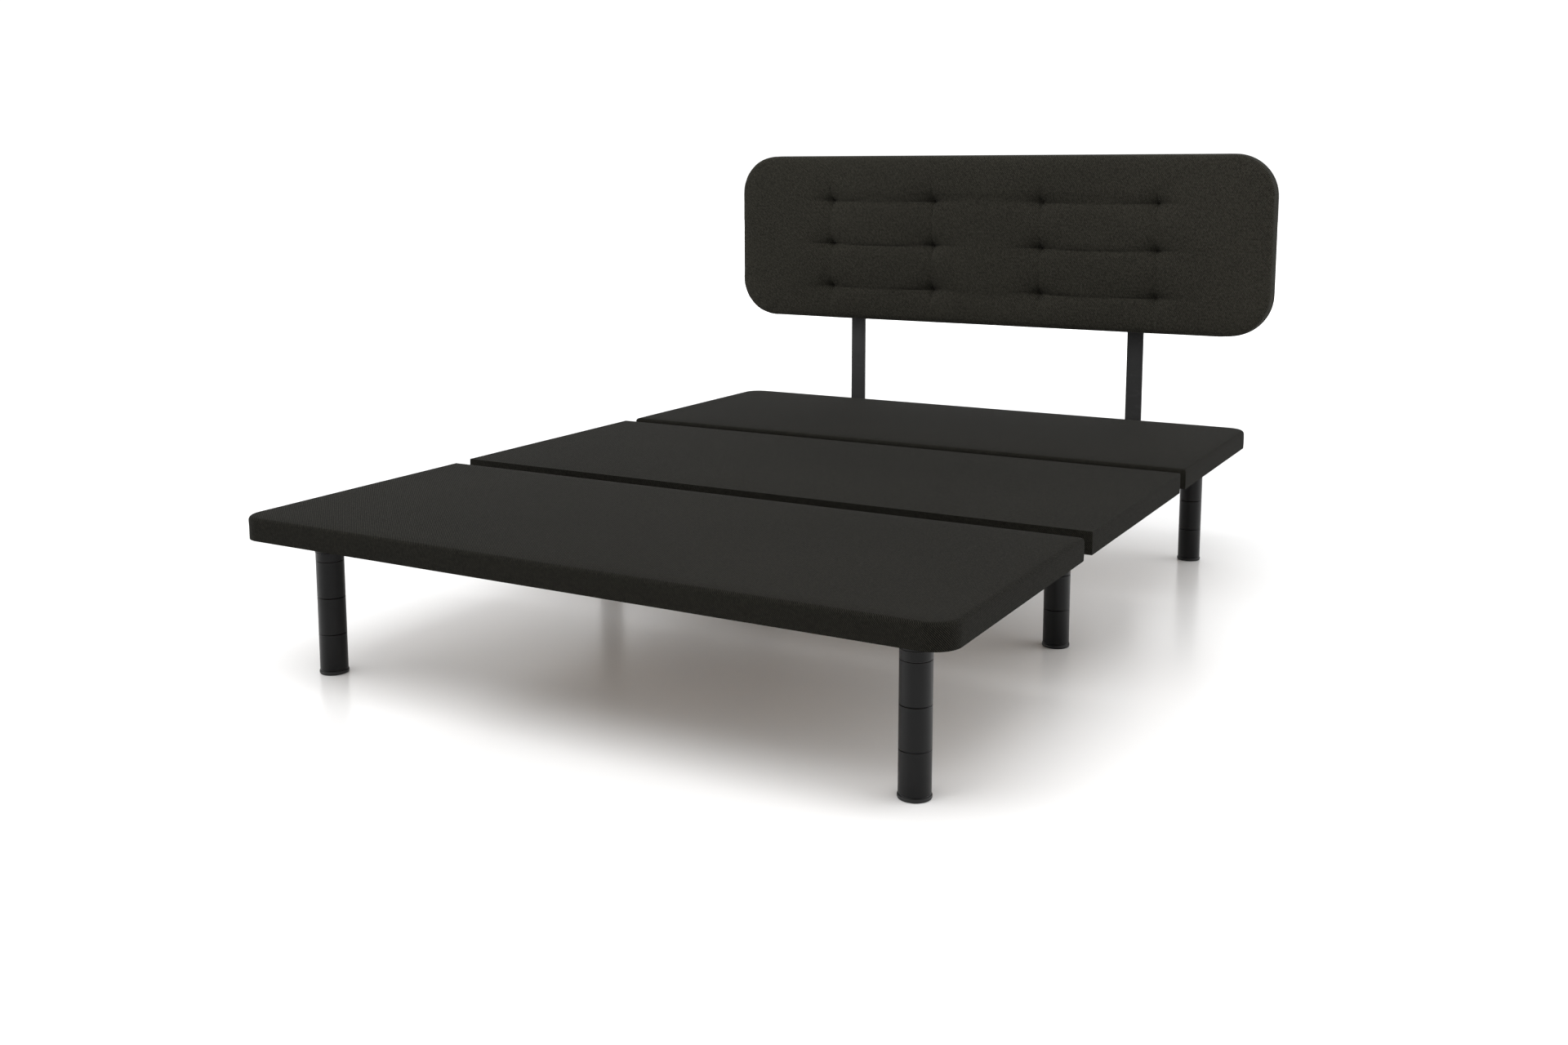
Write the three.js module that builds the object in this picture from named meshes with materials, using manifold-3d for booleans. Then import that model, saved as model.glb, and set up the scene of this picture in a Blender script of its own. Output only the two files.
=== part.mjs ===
// An adjustable bed base: a queen-size upholstered deck in three sections on a steel chassis with six
// round legs, two linear actuators that lift the head and foot sections, and an upholstered headboard.
// Millimetres. +X is the sleeper's left to right, +Y runs from the foot end to the head end, +Z is up.

import * as THREE from "three";
import { mergeVertices } from "three/addons/utils/BufferGeometryUtils.js";
import Module from "manifold-3d";

const wasm = await Module();
wasm.setup();

// ---------------------------------------------------------------- driving dimensions
const GAP = 0.3;                    // air between pieces that touch
const OVERSHOOT = 5;                // how far a cutting tool reaches past the surface it cuts
const DECK_WIDTH = 1524;            // queen, 60 in
const DECK_LENGTH = 2032;           // queen, 80 in
const DECK_TOP = 340;               // height of the mattress surface
const DECK_THICKNESS = 46;
const DECK_CORNER = 50;             // plan radius at the four outer corners
const SECTION_GAP = 50;             // air between two deck sections
const COVER_EDGE = 7;               // softened edge of the upholstery
const COVER_SKIN = 12;              // foam and fabric over the board
const COVER_WALL = 6;               // foam and fabric round the board's edge
const BOARD_THICKNESS = 18;

const LEG_RADIUS = 28;
const LEG_SEGMENT = 76.2;           // 3 in
const LEG_WALL = 2.5;
const LEG_X = 650;
const LEG_Y = 885;
const MIDDLE_LEG_X = 587;
const GLIDE_HEIGHT = 8;
const GLIDE_LIP = 1.3;              // how far the glide stands out past the tube
const GLIDE_CHAMFER = 1.6;
const ROUND = 24;                   // facets of a leg

const TUBE = 30;                    // square tube of the chassis
const TUBE_WALL = 2;
const VENT_RADIUS = 5;              // hole that lets the paint drain out of a closed tube
const SECTION_TUBE = 25;            // square tube of the lifting frames
const RAIL_X = MIDDLE_LEG_X;
const SECTION_ARM_X = 480;
const SEAT_BEAM_INSET = 9;          // seat beam to the inside of the seat's upholstery
const FRAME_INSET = 6;              // lifting frame to the inside of its upholstery, at the hinge
const FRAME_FAR_INSET = 55;         // lifting frame to the deck's end
const STRAP_OVERLAP = 20;           // length of an arm's hinge strap under its tube

const HINGE_RADIUS = 8;
const HINGE_CLEARANCE = 0.08;
const HINGE_FACETS = 32;
const HINGE_EYE = 12.5;
const HINGE_EAR_X = 444;
const HINGE_EAR_THICKNESS = 8;
const HINGE_SHAFT_HALF = 506;

const HEAD_LIFT = THREE.MathUtils.degToRad(60);
const FOOT_LIFT = THREE.MathUtils.degToRad(40);
const LEVER = 80;                   // hinge axis to lever pin
const LEVER_PIN_RADIUS = 6;
const LEVER_PLATE = 6;
const LEVER_PLATE_RADIUS = 13;      // round the lever pin
const LEVER_ROOT_RADIUS = 11;       // where the plate joins its bar
const LEVER_PLATE_OFFSET = 13;      // lever plate's mid-plane from the actuator's
const YOKE_THICKNESS = 16;
const YOKE_PLAY = 1.2;              // play of the lever pin along the rod
const YOKE_WALL = 6;

const ACTUATOR_X = 70;
const ACTUATOR_LENGTH = 330;        // anchor pin to yoke, retracted
const ACTUATOR_TUBE_RADIUS = 18;
const ROD_RADIUS = 9;
const ROD_PLAY = 0.5;
const GEARBOX_START = 41;           // distances from the anchor pin along the actuator
const GEARBOX_END = 103;
const ACTUATOR_TUBE_END = 285;
const ROD_START = 150;
const ROD_BORE_START = 123;
const GEARBOX_WIDTH = 44;
const GEARBOX_HEIGHT = 40;
const MOTOR_RADIUS = 24;
const MOTOR_LENGTH = 112;
const ANCHOR_PIN_RADIUS = 5;
const ANCHOR_LUG = 18;              // thickness of the gearbox's lug
const ANCHOR_LUG_RADIUS = 10;
const ANCHOR_LUG_ROOT = 12;
const ANCHOR_EAR = 6;
const ANCHOR_EAR_PLAY = 1;
const ANCHOR_EAR_RADIUS = 11;
const ANCHOR_EAR_ROOT = 9;
const ANCHOR_EAR_DROP = 8;          // the ear's root circle below the crossbar
const ANCHOR_EAR_LEAN = 0.3;        // the root's share of the way from the crossbar to the pin

const CONTROL_X = -350;
const CONTROL_WIDTH = 160;
const CONTROL_LENGTH = 124;
const CONTROL_HEIGHT = 44;
const CONTROL_CORNER = 8;
const CONTROL_EDGE = 2;
const INLET_WIDTH = 28;
const INLET_HEIGHT = 20;
const INLET_DEPTH = 14;

const HEADBOARD_WIDTH = 1614;
const HEADBOARD_TOP = 1067;
const HEADBOARD_HEIGHT = 490;
const HEADBOARD_CORNER = 115;
const HEADBOARD_CUSHION = 50;
const HEADBOARD_EDGE = 14;          // softened front edge of the cushion
const HEADBOARD_BOARD = 16;
const HEADBOARD_BOARD_INSET = 10;
const HEADBOARD_STANDOFF = 6;       // deck end to headboard
const POST_X = 430;
const POST_WIDTH = 45;
const POST_THICKNESS = 8;
const POST_TOP = 900;

// ---------------------------------------------------------------- levels and places that follow
const DECK_BOTTOM = DECK_TOP - DECK_THICKNESS;
const BOARD_TOP = DECK_TOP - COVER_SKIN - GAP;
const BOARD_BOTTOM = BOARD_TOP - BOARD_THICKNESS;
const SECTION_TUBE_TOP = BOARD_BOTTOM - GAP;
const SECTION_TUBE_BOTTOM = SECTION_TUBE_TOP - SECTION_TUBE;
const CHASSIS_TOP = SECTION_TUBE_BOTTOM - GAP;
const CHASSIS_BOTTOM = CHASSIS_TOP - TUBE;
const LEG_TOP = GLIDE_HEIGHT + 3 * LEG_SEGMENT;
const HINGE_Z = DECK_BOTTOM + 9;
const STRAP_TOP = DECK_BOTTOM - 3;  // hinge straps pass under the upholstery's lower edge
const STRAP_THICKNESS = 11;

const SECTION_LENGTH = (DECK_LENGTH - 2 * SECTION_GAP) / 3;
const SEAT_END = SECTION_LENGTH / 2;
const SECTION_START = SEAT_END + SECTION_GAP;
const HINGE_Y = SEAT_END + SECTION_GAP / 2;
const DECK_END = DECK_LENGTH / 2;
const SEAT_BEAM_END = SEAT_END - COVER_WALL - SEAT_BEAM_INSET;
const FRAME_START = SECTION_START + COVER_WALL + FRAME_INSET;
const FRAME_END = DECK_END - FRAME_FAR_INSET;
const BAR_REACH = SECTION_ARM_X - SECTION_TUBE / 2 - GAP;

const HEADBOARD_FRONT = DECK_END + HEADBOARD_STANDOFF;
const HEADBOARD_BOARD_FRONT = HEADBOARD_FRONT + HEADBOARD_CUSHION + GAP;
const POST_FRONT = HEADBOARD_BOARD_FRONT + HEADBOARD_BOARD + GAP;
const POST_BACK = POST_FRONT + POST_THICKNESS;
const CENTRE_Y = (POST_BACK - DECK_END) / 2;   // middle of the whole bed, from the middle of the deck

// ---------------------------------------------------------------- materials
const material = (name, color, roughness, metalness = 0) =>
  new THREE.MeshStandardMaterial({ name, color, roughness, metalness });

const TWILL = material("deck_twill", 0x24241f, 0.95);
const HEADBOARD_TWILL = material("headboard_twill", 0x22221e, 0.95);
const PLYWOOD = material("plywood", 0xb08a5c, 0.7);
const FRAME_PAINT = material("frame_paint", 0x191919, 0.55, 0.3);
const LEG_PAINT = material("leg_paint", 0x1c1c1d, 0.42, 0.4);
const GLIDE_PLASTIC = material("glide_plastic", 0x121212, 0.6);
const STEEL = material("bright_steel", 0xa8abad, 0.3, 1);
const MOTOR_PLASTIC = material("motor_plastic", 0x1d1e20, 0.6);
const BOX_PLASTIC = material("box_plastic", 0x232426, 0.65);

// ---------------------------------------------------------------- solids
function toSolid(geometry) {
  const bare = geometry.clone();
  bare.deleteAttribute("normal");
  bare.deleteAttribute("uv");
  const merged = mergeVertices(bare, 1e-4);
  return new wasm.Manifold(new wasm.Mesh({
    numProp: 3,
    vertProperties: new Float32Array(merged.attributes.position.array),
    triVerts: new Uint32Array(merged.index.array),
  }));
}

function toGeometry(solid) {
  const mesh = solid.getMesh();
  const geometry = new THREE.BufferGeometry();
  geometry.setAttribute("position", new THREE.BufferAttribute(new Float32Array(mesh.vertProperties), 3));
  geometry.setIndex(new THREE.BufferAttribute(new Uint32Array(mesh.triVerts), 1));
  geometry.computeVertexNormals();
  return geometry;
}

const join = (...geometries) =>
  toGeometry(geometries.map(toSolid).reduce((whole, piece) => whole.add(piece)));

const cut = (geometry, ...tools) =>
  toGeometry(tools.map(toSolid).reduce((whole, tool) => whole.subtract(tool), toSolid(geometry)));

// A box between two values on each axis.
function box([x0, x1], [y0, y1], [z0, z1]) {
  return new THREE.BoxGeometry(x1 - x0, y1 - y0, z1 - z0)
    .translate((x0 + x1) / 2, (y0 + y1) / 2, (z0 + z1) / 2);
}

const around = (middle, size) => [middle - size / 2, middle + size / 2];

// What is left of a pair of limits after the tube's wall, or well past the ends where the tube is open.
const withinWall = ([low, high]) => [low + TUBE_WALL, high - TUBE_WALL];
const throughEnds = ([low, high]) => [low - OVERSHOOT, high + OVERSHOOT];

// A square tube along X, or along Y, open at both ends.
const tubeX = (xs, ys, zs) => cut(box(xs, ys, zs), box(throughEnds(xs), withinWall(ys), withinWall(zs)));
const tubeY = (xs, ys, zs) => cut(box(xs, ys, zs), box(withinWall(xs), throughEnds(ys), withinWall(zs)));

// A round bar along X, through (y, z).
function barX(radius, [x0, x1], y, z, facets = 32) {
  return new THREE.CylinderGeometry(radius, radius, x1 - x0, facets)
    .rotateZ(Math.PI / 2)
    .translate((x0 + x1) / 2, y, z);
}

// A round bar along Y, through (x, z).
function barY(radius, [y0, y1], x, z, facets = 32) {
  return new THREE.CylinderGeometry(radius, radius, y1 - y0, facets)
    .translate(x, (y0 + y1) / 2, z);
}

// A round bar along Z, through (x, y).
function barZ(radius, [z0, z1], x, y, facets = 32) {
  return new THREE.CylinderGeometry(radius, radius, z1 - z0, facets)
    .rotateX(Math.PI / 2)
    .translate(x, y, (z0 + z1) / 2);
}

// A flat plate standing in the YZ plane, its outline running round two circles [y, z, radius].
function linkPlate(first, second, [x0, x1]) {
  const [y0, z0, r0] = first;
  const [y1, z1, r1] = second;
  const heading = Math.atan2(z1 - z0, y1 - y0);
  const spread = Math.acos((r0 - r1) / Math.hypot(y1 - y0, z1 - z0));
  const outline = new THREE.Shape();
  outline.absarc(y0, z0, r0, heading + spread, heading - spread + 2 * Math.PI, false);
  outline.absarc(y1, z1, r1, heading - spread, heading + spread, false);
  return new THREE.ExtrudeGeometry(outline, { depth: x1 - x0, bevelEnabled: false, curveSegments: 8 })
    .rotateX(Math.PI / 2)
    .rotateZ(Math.PI / 2)
    .translate(x0, 0, 0);
}

// A rectangle [x0, x1] by [y0, y1] whose corners at y1 have one radius and those at y0 another.
function roundedOutline([x0, x1], [y0, y1], farRadius, nearRadius = 0) {
  const outline = new THREE.Shape();
  const corner = (x, y, radius, start) => (radius > 0
    ? outline.absarc(x, y, radius, start, start + Math.PI / 2, false)
    : outline.lineTo(x, y));
  outline.moveTo(x0 + nearRadius, y0);
  corner(x1 - nearRadius, y0 + nearRadius, nearRadius, -Math.PI / 2);
  corner(x1 - farRadius, y1 - farRadius, farRadius, 0);
  corner(x0 + farRadius, y1 - farRadius, farRadius, Math.PI / 2);
  corner(x0 + nearRadius, y0 + nearRadius, nearRadius, Math.PI);
  outline.closePath();
  return outline;
}

// A slab of an outline from z0 to z1, its edges softened by a small bevel.
function slab(outline, [z0, z1], edge = 0, bevelSegments = 2) {
  const options = { depth: z1 - z0 - 2 * edge, curveSegments: 7, bevelEnabled: edge > 0 };
  if (edge > 0) {
    Object.assign(options, { bevelThickness: edge, bevelSize: edge, bevelOffset: -edge, bevelSegments });
  }
  return new THREE.ExtrudeGeometry(outline, options).translate(0, 0, z0 + edge);
}

// ---------------------------------------------------------------- the group
const bed = new THREE.Group();
bed.name = "adjustable_bed_base";

// Adds a sub-part drawn about the middle of the deck; the bed's own middle is a little further back.
function add(name, geometry, surface) {
  const mesh = new THREE.Mesh(geometry, surface);
  mesh.name = name;
  mesh.position.set(0, -CENTRE_Y, 0);
  bed.add(mesh);
}

// Head and foot sections are the same design turned end for end.
const ENDS = [
  { end: "head", way: 1, turn: 0, lift: HEAD_LIFT },
  { end: "foot", way: -1, turn: Math.PI, lift: FOOT_LIFT },
];
const SIDES = [["left", -1], ["right", 1]];

// ---------------------------------------------------------------- legs
function legSegment(bottom) {
  const low = bottom + GAP / 2;
  const high = bottom + LEG_SEGMENT - GAP / 2;
  const bore = LEG_RADIUS - LEG_WALL;
  return new THREE.LatheGeometry([
    new THREE.Vector2(0, high - LEG_WALL),
    new THREE.Vector2(bore, high - LEG_WALL),
    new THREE.Vector2(bore, low),
    new THREE.Vector2(LEG_RADIUS, low),
    new THREE.Vector2(LEG_RADIUS, high),
    new THREE.Vector2(0, high),
  ], ROUND).rotateX(Math.PI / 2);
}

function legGlide() {
  const rim = LEG_RADIUS + GLIDE_LIP;
  const top = GLIDE_HEIGHT - GAP / 2;
  return new THREE.LatheGeometry([
    new THREE.Vector2(0, 0),
    new THREE.Vector2(rim - GLIDE_CHAMFER, 0),
    new THREE.Vector2(rim, GLIDE_CHAMFER),
    new THREE.Vector2(rim, top - GLIDE_CHAMFER),
    new THREE.Vector2(rim - GLIDE_CHAMFER, top),
    new THREE.Vector2(0, top),
  ], ROUND).rotateX(Math.PI / 2);
}

// The threaded boss that a leg screws into, with the chassis tube running into it.
const legSocket = (x, y) => barZ(LEG_RADIUS, [LEG_TOP + GAP / 2, CHASSIS_TOP - GAP], x, y, ROUND);

function addLegs() {
  const rows = [["head", LEG_X, LEG_Y], ["middle", MIDDLE_LEG_X, 0], ["foot", LEG_X, -LEG_Y]];
  const segments = ["lower", "middle", "upper"];
  for (const [row, legX, legY] of rows) {
    for (const [side, sign] of SIDES) {
      const name = `leg_${row}_${side}`;
      const stand = (geometry) => geometry.translate(sign * legX, legY, 0);
      add(`${name}_glide`, stand(legGlide()), GLIDE_PLASTIC);
      segments.forEach((segment, index) => {
        add(`${name}_${segment}`, stand(legSegment(GLIDE_HEIGHT + index * LEG_SEGMENT)), LEG_PAINT);
      });
    }
  }
}

// ---------------------------------------------------------------- chassis
function addRails() {
  const reach = LEG_Y - TUBE / 2 - GAP;
  for (const [side, sign] of SIDES) {
    const tube = tubeY(around(sign * RAIL_X, TUBE), [-reach, reach], [CHASSIS_BOTTOM, CHASSIS_TOP]);
    add(`chassis_rail_${side}`, join(tube, legSocket(sign * MIDDLE_LEG_X, 0)), FRAME_PAINT);
  }
}

function addEndCrossbars() {
  const reach = LEG_X + LEG_RADIUS;
  for (const { end, way } of ENDS) {
    const tube = tubeX([-reach, reach], around(way * LEG_Y, TUBE), [CHASSIS_BOTTOM, CHASSIS_TOP]);
    const sockets = SIDES.map(([, sign]) => legSocket(sign * LEG_X, way * LEG_Y));
    const vent = barZ(VENT_RADIUS, around(CHASSIS_BOTTOM, 3 * TUBE_WALL), 0, way * LEG_Y, 16);
    add(`chassis_crossbar_${end}`, cut(join(tube, ...sockets), vent), FRAME_PAINT);
  }
}

// The crossbar over the middle legs, with a pinned bracket below it for each actuator.
function addMiddleCrossbar() {
  const reach = MIDDLE_LEG_X - LEG_RADIUS - GAP;
  const pieces = [tubeX([-reach, reach], around(0, TUBE), [CHASSIS_BOTTOM, CHASSIS_TOP])];
  for (const section of ENDS) {
    const { anchorY, z, x } = actuatorPlace(section);
    const root = [anchorY * ANCHOR_EAR_LEAN, CHASSIS_BOTTOM - ANCHOR_EAR_DROP, ANCHOR_EAR_ROOT];
    const earOffset = ANCHOR_LUG / 2 + ANCHOR_EAR_PLAY + ANCHOR_EAR / 2;
    for (const [, sign] of SIDES) {
      const across = around(x + sign * earOffset, ANCHOR_EAR);
      pieces.push(linkPlate([anchorY, z, ANCHOR_EAR_RADIUS], root, across));
    }
    pieces.push(barX(ANCHOR_PIN_RADIUS, around(x, 2 * earOffset + 2 * ANCHOR_EAR), anchorY, z, 24));
  }
  add("chassis_crossbar_middle", join(...pieces), FRAME_PAINT);
}

// The seat's cross beams, each with two ears that hold a hinge shaft in the gap between sections.
function addSeatBeams() {
  for (const { end, way, turn } of ENDS) {
    const reach = RAIL_X + TUBE / 2;
    const pieces = [tubeX([-reach, reach], [SEAT_BEAM_END - SECTION_TUBE, SEAT_BEAM_END],
      [SECTION_TUBE_BOTTOM, SECTION_TUBE_TOP])];
    const bores = [];
    for (const [, sign] of SIDES) {
      const across = around(sign * HINGE_EAR_X, HINGE_EAR_THICKNESS);
      pieces.push(box(across, [SEAT_BEAM_END - SECTION_TUBE, HINGE_Y],
        [STRAP_TOP - STRAP_THICKNESS, STRAP_TOP]));
      pieces.push(barX(HINGE_EYE, across, HINGE_Y, HINGE_Z));
      bores.push(barX(HINGE_RADIUS + HINGE_CLEARANCE, around(sign * HINGE_EAR_X, 2 * HINGE_EAR_THICKNESS),
        HINGE_Y, HINGE_Z, HINGE_FACETS));
    }
    add(`seat_beam_${end}`, cut(join(...pieces), ...bores).rotateZ(turn), FRAME_PAINT);
    const shaft = [-HINGE_SHAFT_HALF, HINGE_SHAFT_HALF];
    add(`hinge_shaft_${end}`, barX(HINGE_RADIUS, shaft, way * HINGE_Y, HINGE_Z, HINGE_FACETS), STEEL);
  }
}

// ---------------------------------------------------------------- deck
// The upholstery of one section: a padded lid that drops over the board and its frame.
function coverSolid([y0, y1], farRadius) {
  const half = DECK_WIDTH / 2;
  const inner = Math.max(farRadius - COVER_WALL, 0);
  const outside = slab(roundedOutline([-half, half], [y0, y1], farRadius),
    [DECK_BOTTOM - 2 * COVER_EDGE, DECK_TOP], COVER_EDGE);
  const hem = box(throughEnds([-half, half]), throughEnds([y0, y1]),
    [DECK_BOTTOM - 3 * COVER_EDGE, DECK_BOTTOM]);
  const hollow = slab(roundedOutline([-half + COVER_WALL, half - COVER_WALL],
    [y0 + COVER_WALL, y1 - COVER_WALL], inner), [DECK_BOTTOM - OVERSHOOT, DECK_TOP - COVER_SKIN]);
  return cut(outside, hem, hollow);
}

function boardSolid([y0, y1], farRadius) {
  const inset = COVER_WALL + GAP;
  const half = DECK_WIDTH / 2 - inset;
  const outline = roundedOutline([-half, half], [y0 + inset, y1 - inset],
    Math.max(farRadius - inset, 0));
  return slab(outline, [BOARD_BOTTOM, BOARD_TOP]);
}

function addDeck() {
  const seat = [-SEAT_END, SEAT_END];
  add("seat_cover", coverSolid(seat, 0), TWILL);
  add("seat_board", boardSolid(seat, 0), PLYWOOD);
  const section = [SECTION_START, DECK_END];
  for (const { end, turn } of ENDS) {
    add(`${end}_cover`, coverSolid(section, DECK_CORNER).rotateZ(turn), TWILL);
    add(`${end}_board`, boardSolid(section, DECK_CORNER).rotateZ(turn), PLYWOOD);
  }
}

// ---------------------------------------------------------------- lifting frames
// Where the lever pin is while the section lies flat: its swing is even about straight down.
function leverPinPlace(lift) {
  return {
    y: HINGE_Y - LEVER * Math.sin(lift / 2),
    z: HINGE_Z - LEVER * Math.cos(lift / 2),
  };
}

// The bar next to the hinge, with the pair of lever plates that the actuator's yoke pushes.
function leverBar(lift, actuatorX) {
  const pin = leverPinPlace(lift);
  const alongBar = [FRAME_START, FRAME_START + SECTION_TUBE];
  const root = [FRAME_START + SECTION_TUBE / 2, STRAP_TOP - LEVER_ROOT_RADIUS, LEVER_ROOT_RADIUS];
  const pieces = [tubeX([-BAR_REACH, BAR_REACH], alongBar, [SECTION_TUBE_BOTTOM, SECTION_TUBE_TOP])];
  for (const [, sign] of SIDES) {
    pieces.push(linkPlate([pin.y, pin.z, LEVER_PLATE_RADIUS], root,
      around(actuatorX + sign * LEVER_PLATE_OFFSET, LEVER_PLATE)));
  }
  const pinLength = 2 * LEVER_PLATE_OFFSET + 2 * LEVER_PLATE;
  pieces.push(barX(LEVER_PIN_RADIUS, around(actuatorX, pinLength), pin.y, pin.z, 24));
  return join(...pieces);
}

// A long arm that turns on the hinge shaft and carries the section's board.
function sectionArm(sign) {
  const across = around(sign * SECTION_ARM_X, SECTION_TUBE);
  const solid = join(
    tubeY(across, [FRAME_START, FRAME_END], [SECTION_TUBE_BOTTOM, SECTION_TUBE_TOP]),
    box(across, [HINGE_Y, FRAME_START + STRAP_OVERLAP], [STRAP_TOP - STRAP_THICKNESS, STRAP_TOP]),
    barX(HINGE_EYE, across, HINGE_Y, HINGE_Z),
  );
  return cut(solid, barX(HINGE_RADIUS + HINGE_CLEARANCE, around(sign * SECTION_ARM_X, 2 * SECTION_TUBE),
    HINGE_Y, HINGE_Z, HINGE_FACETS));
}

function farBar() {
  return tubeX([-BAR_REACH, BAR_REACH], [FRAME_END - SECTION_TUBE, FRAME_END],
    [SECTION_TUBE_BOTTOM, SECTION_TUBE_TOP]);
}

function addLiftingFrames() {
  for (const { end, turn, lift } of ENDS) {
    add(`${end}_lever_bar`, leverBar(lift, ACTUATOR_X).rotateZ(turn), FRAME_PAINT);
    add(`${end}_far_bar`, farBar().rotateZ(turn), FRAME_PAINT);
    add(`${end}_arm_left`, sectionArm(-1).rotateZ(turn), FRAME_PAINT);
    add(`${end}_arm_right`, sectionArm(1).rotateZ(turn), FRAME_PAINT);
  }
}

// ---------------------------------------------------------------- actuators
// The actuator lies level; its yoke sits half way between the lever pin's lowest and highest points.
function actuatorPlace({ way, lift }) {
  const pin = leverPinPlace(lift);
  const lowest = HINGE_Z - LEVER;
  const highest = HINGE_Z - LEVER * Math.cos(HEAD_LIFT / 2);
  return {
    x: way * ACTUATOR_X,
    z: (lowest + highest) / 2,
    anchorY: way * (pin.y - ACTUATOR_LENGTH),
    slotHalf: (highest - lowest) / 2 + LEVER_PIN_RADIUS + 1,
  };
}

function addActuators() {
  for (const section of ENDS) {
    const { end, way, turn } = section;
    const { z, anchorY, slotHalf } = actuatorPlace(section);
    const from = way * anchorY;                     // the anchor pin, before the section is turned
    const along = (start, stop) => [from + start, from + stop];
    const x = ACTUATOR_X;
    const gearboxMiddle = from + (GEARBOX_START + GEARBOX_END) / 2;
    const lug = linkPlate([from, z, ANCHOR_LUG_RADIUS],
      [from + GEARBOX_START + OVERSHOOT, z, ANCHOR_LUG_ROOT], around(x, ANCHOR_LUG));
    const motor = join(
      box(around(x, GEARBOX_WIDTH), along(GEARBOX_START, GEARBOX_END), around(z, GEARBOX_HEIGHT)),
      cut(lug, barX(ANCHOR_PIN_RADIUS + GAP, around(x, 2 * ANCHOR_LUG), from, z, 24)),
      barX(MOTOR_RADIUS, [x + GEARBOX_WIDTH / 2 - 1, x + GEARBOX_WIDTH / 2 + MOTOR_LENGTH], gearboxMiddle, z),
    );
    add(`${end}_motor`, motor.rotateZ(turn), MOTOR_PLASTIC);
    const tube = cut(
      barY(ACTUATOR_TUBE_RADIUS, along(GEARBOX_END + GAP, ACTUATOR_TUBE_END), x, z),
      barY(ROD_RADIUS + ROD_PLAY, along(ROD_BORE_START, ACTUATOR_TUBE_END + OVERSHOOT), x, z),
    );
    add(`${end}_actuator_tube`, tube.rotateZ(turn), FRAME_PAINT);
    const yoke = from + ACTUATOR_LENGTH;
    const slotWidth = 2 * (LEVER_PIN_RADIUS + YOKE_PLAY);
    const rod = cut(
      join(
        barY(ROD_RADIUS, [from + ROD_START, yoke - slotWidth / 2 - YOKE_WALL / 2], x, z),
        box(around(x, YOKE_THICKNESS), around(yoke, slotWidth + 2 * YOKE_WALL),
          around(z, 2 * slotHalf + 2 * YOKE_WALL)),
      ),
      box(around(x, 2 * YOKE_THICKNESS), around(yoke, slotWidth), around(z, 2 * slotHalf)),
    );
    add(`${end}_rod`, rod.rotateZ(turn), STEEL);
  }
}

// ---------------------------------------------------------------- control box
// The box under the middle crossbar that feeds both motors, with the recess of its mains inlet.
function addControlBox() {
  const across = around(CONTROL_X, CONTROL_WIDTH);
  const high = CHASSIS_BOTTOM - GAP;
  const upright = [high - CONTROL_HEIGHT, high];
  const outline = roundedOutline(across, around(0, CONTROL_LENGTH), CONTROL_CORNER, CONTROL_CORNER);
  const shell = slab(outline, upright, CONTROL_EDGE, 1);
  const inlet = box([across[1] - INLET_DEPTH, across[1] + OVERSHOOT], around(0, INLET_WIDTH),
    around(high - CONTROL_HEIGHT / 2, INLET_HEIGHT));
  add("control_box", cut(shell, inlet), BOX_PLASTIC);
}

// ---------------------------------------------------------------- headboard
// A rounded panel in the XZ plane between two depths.
function headboardPanel([y0, y1], inset, edge) {
  const half = HEADBOARD_WIDTH / 2 - inset;
  const bottom = HEADBOARD_TOP - HEADBOARD_HEIGHT + inset;
  const radius = HEADBOARD_CORNER - inset;
  const outline = roundedOutline([-half, half], [bottom, HEADBOARD_TOP - inset], radius, radius);
  return slab(outline, [y0, y1], edge)
    .rotateX(Math.PI / 2)
    .translate(0, y0 + y1, 0);    // turning swapped the two depths' signs
}

// A flat bar from under the chassis' head crossbar out behind the deck and up the headboard's back.
function headboardPost(x) {
  const across = around(x, POST_WIDTH);
  const foot = LEG_Y + TUBE / 2 + GAP;
  return join(
    box(across, [foot, POST_BACK], [CHASSIS_BOTTOM, CHASSIS_BOTTOM + POST_THICKNESS]),
    box(across, [foot, foot + POST_THICKNESS], [CHASSIS_BOTTOM, CHASSIS_TOP]),
    box(across, [POST_FRONT, POST_BACK], [CHASSIS_BOTTOM, POST_TOP]),
  );
}

function addHeadboard() {
  const cushion = [HEADBOARD_FRONT, HEADBOARD_FRONT + HEADBOARD_CUSHION];
  add("headboard_cushion", headboardPanel(cushion, 0, HEADBOARD_EDGE), HEADBOARD_TWILL);
  const board = [HEADBOARD_BOARD_FRONT, HEADBOARD_BOARD_FRONT + HEADBOARD_BOARD];
  add("headboard_board", headboardPanel(board, HEADBOARD_BOARD_INSET, 0), PLYWOOD);
  for (const [side, sign] of SIDES) {
    add(`headboard_post_${side}`, headboardPost(sign * POST_X), FRAME_PAINT);
  }
}

addLegs();
addRails();
addEndCrossbars();
addMiddleCrossbar();
addSeatBeams();
addDeck();
addLiftingFrames();
addActuators();
addControlBox();
addHeadboard();

export default bed;
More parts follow.
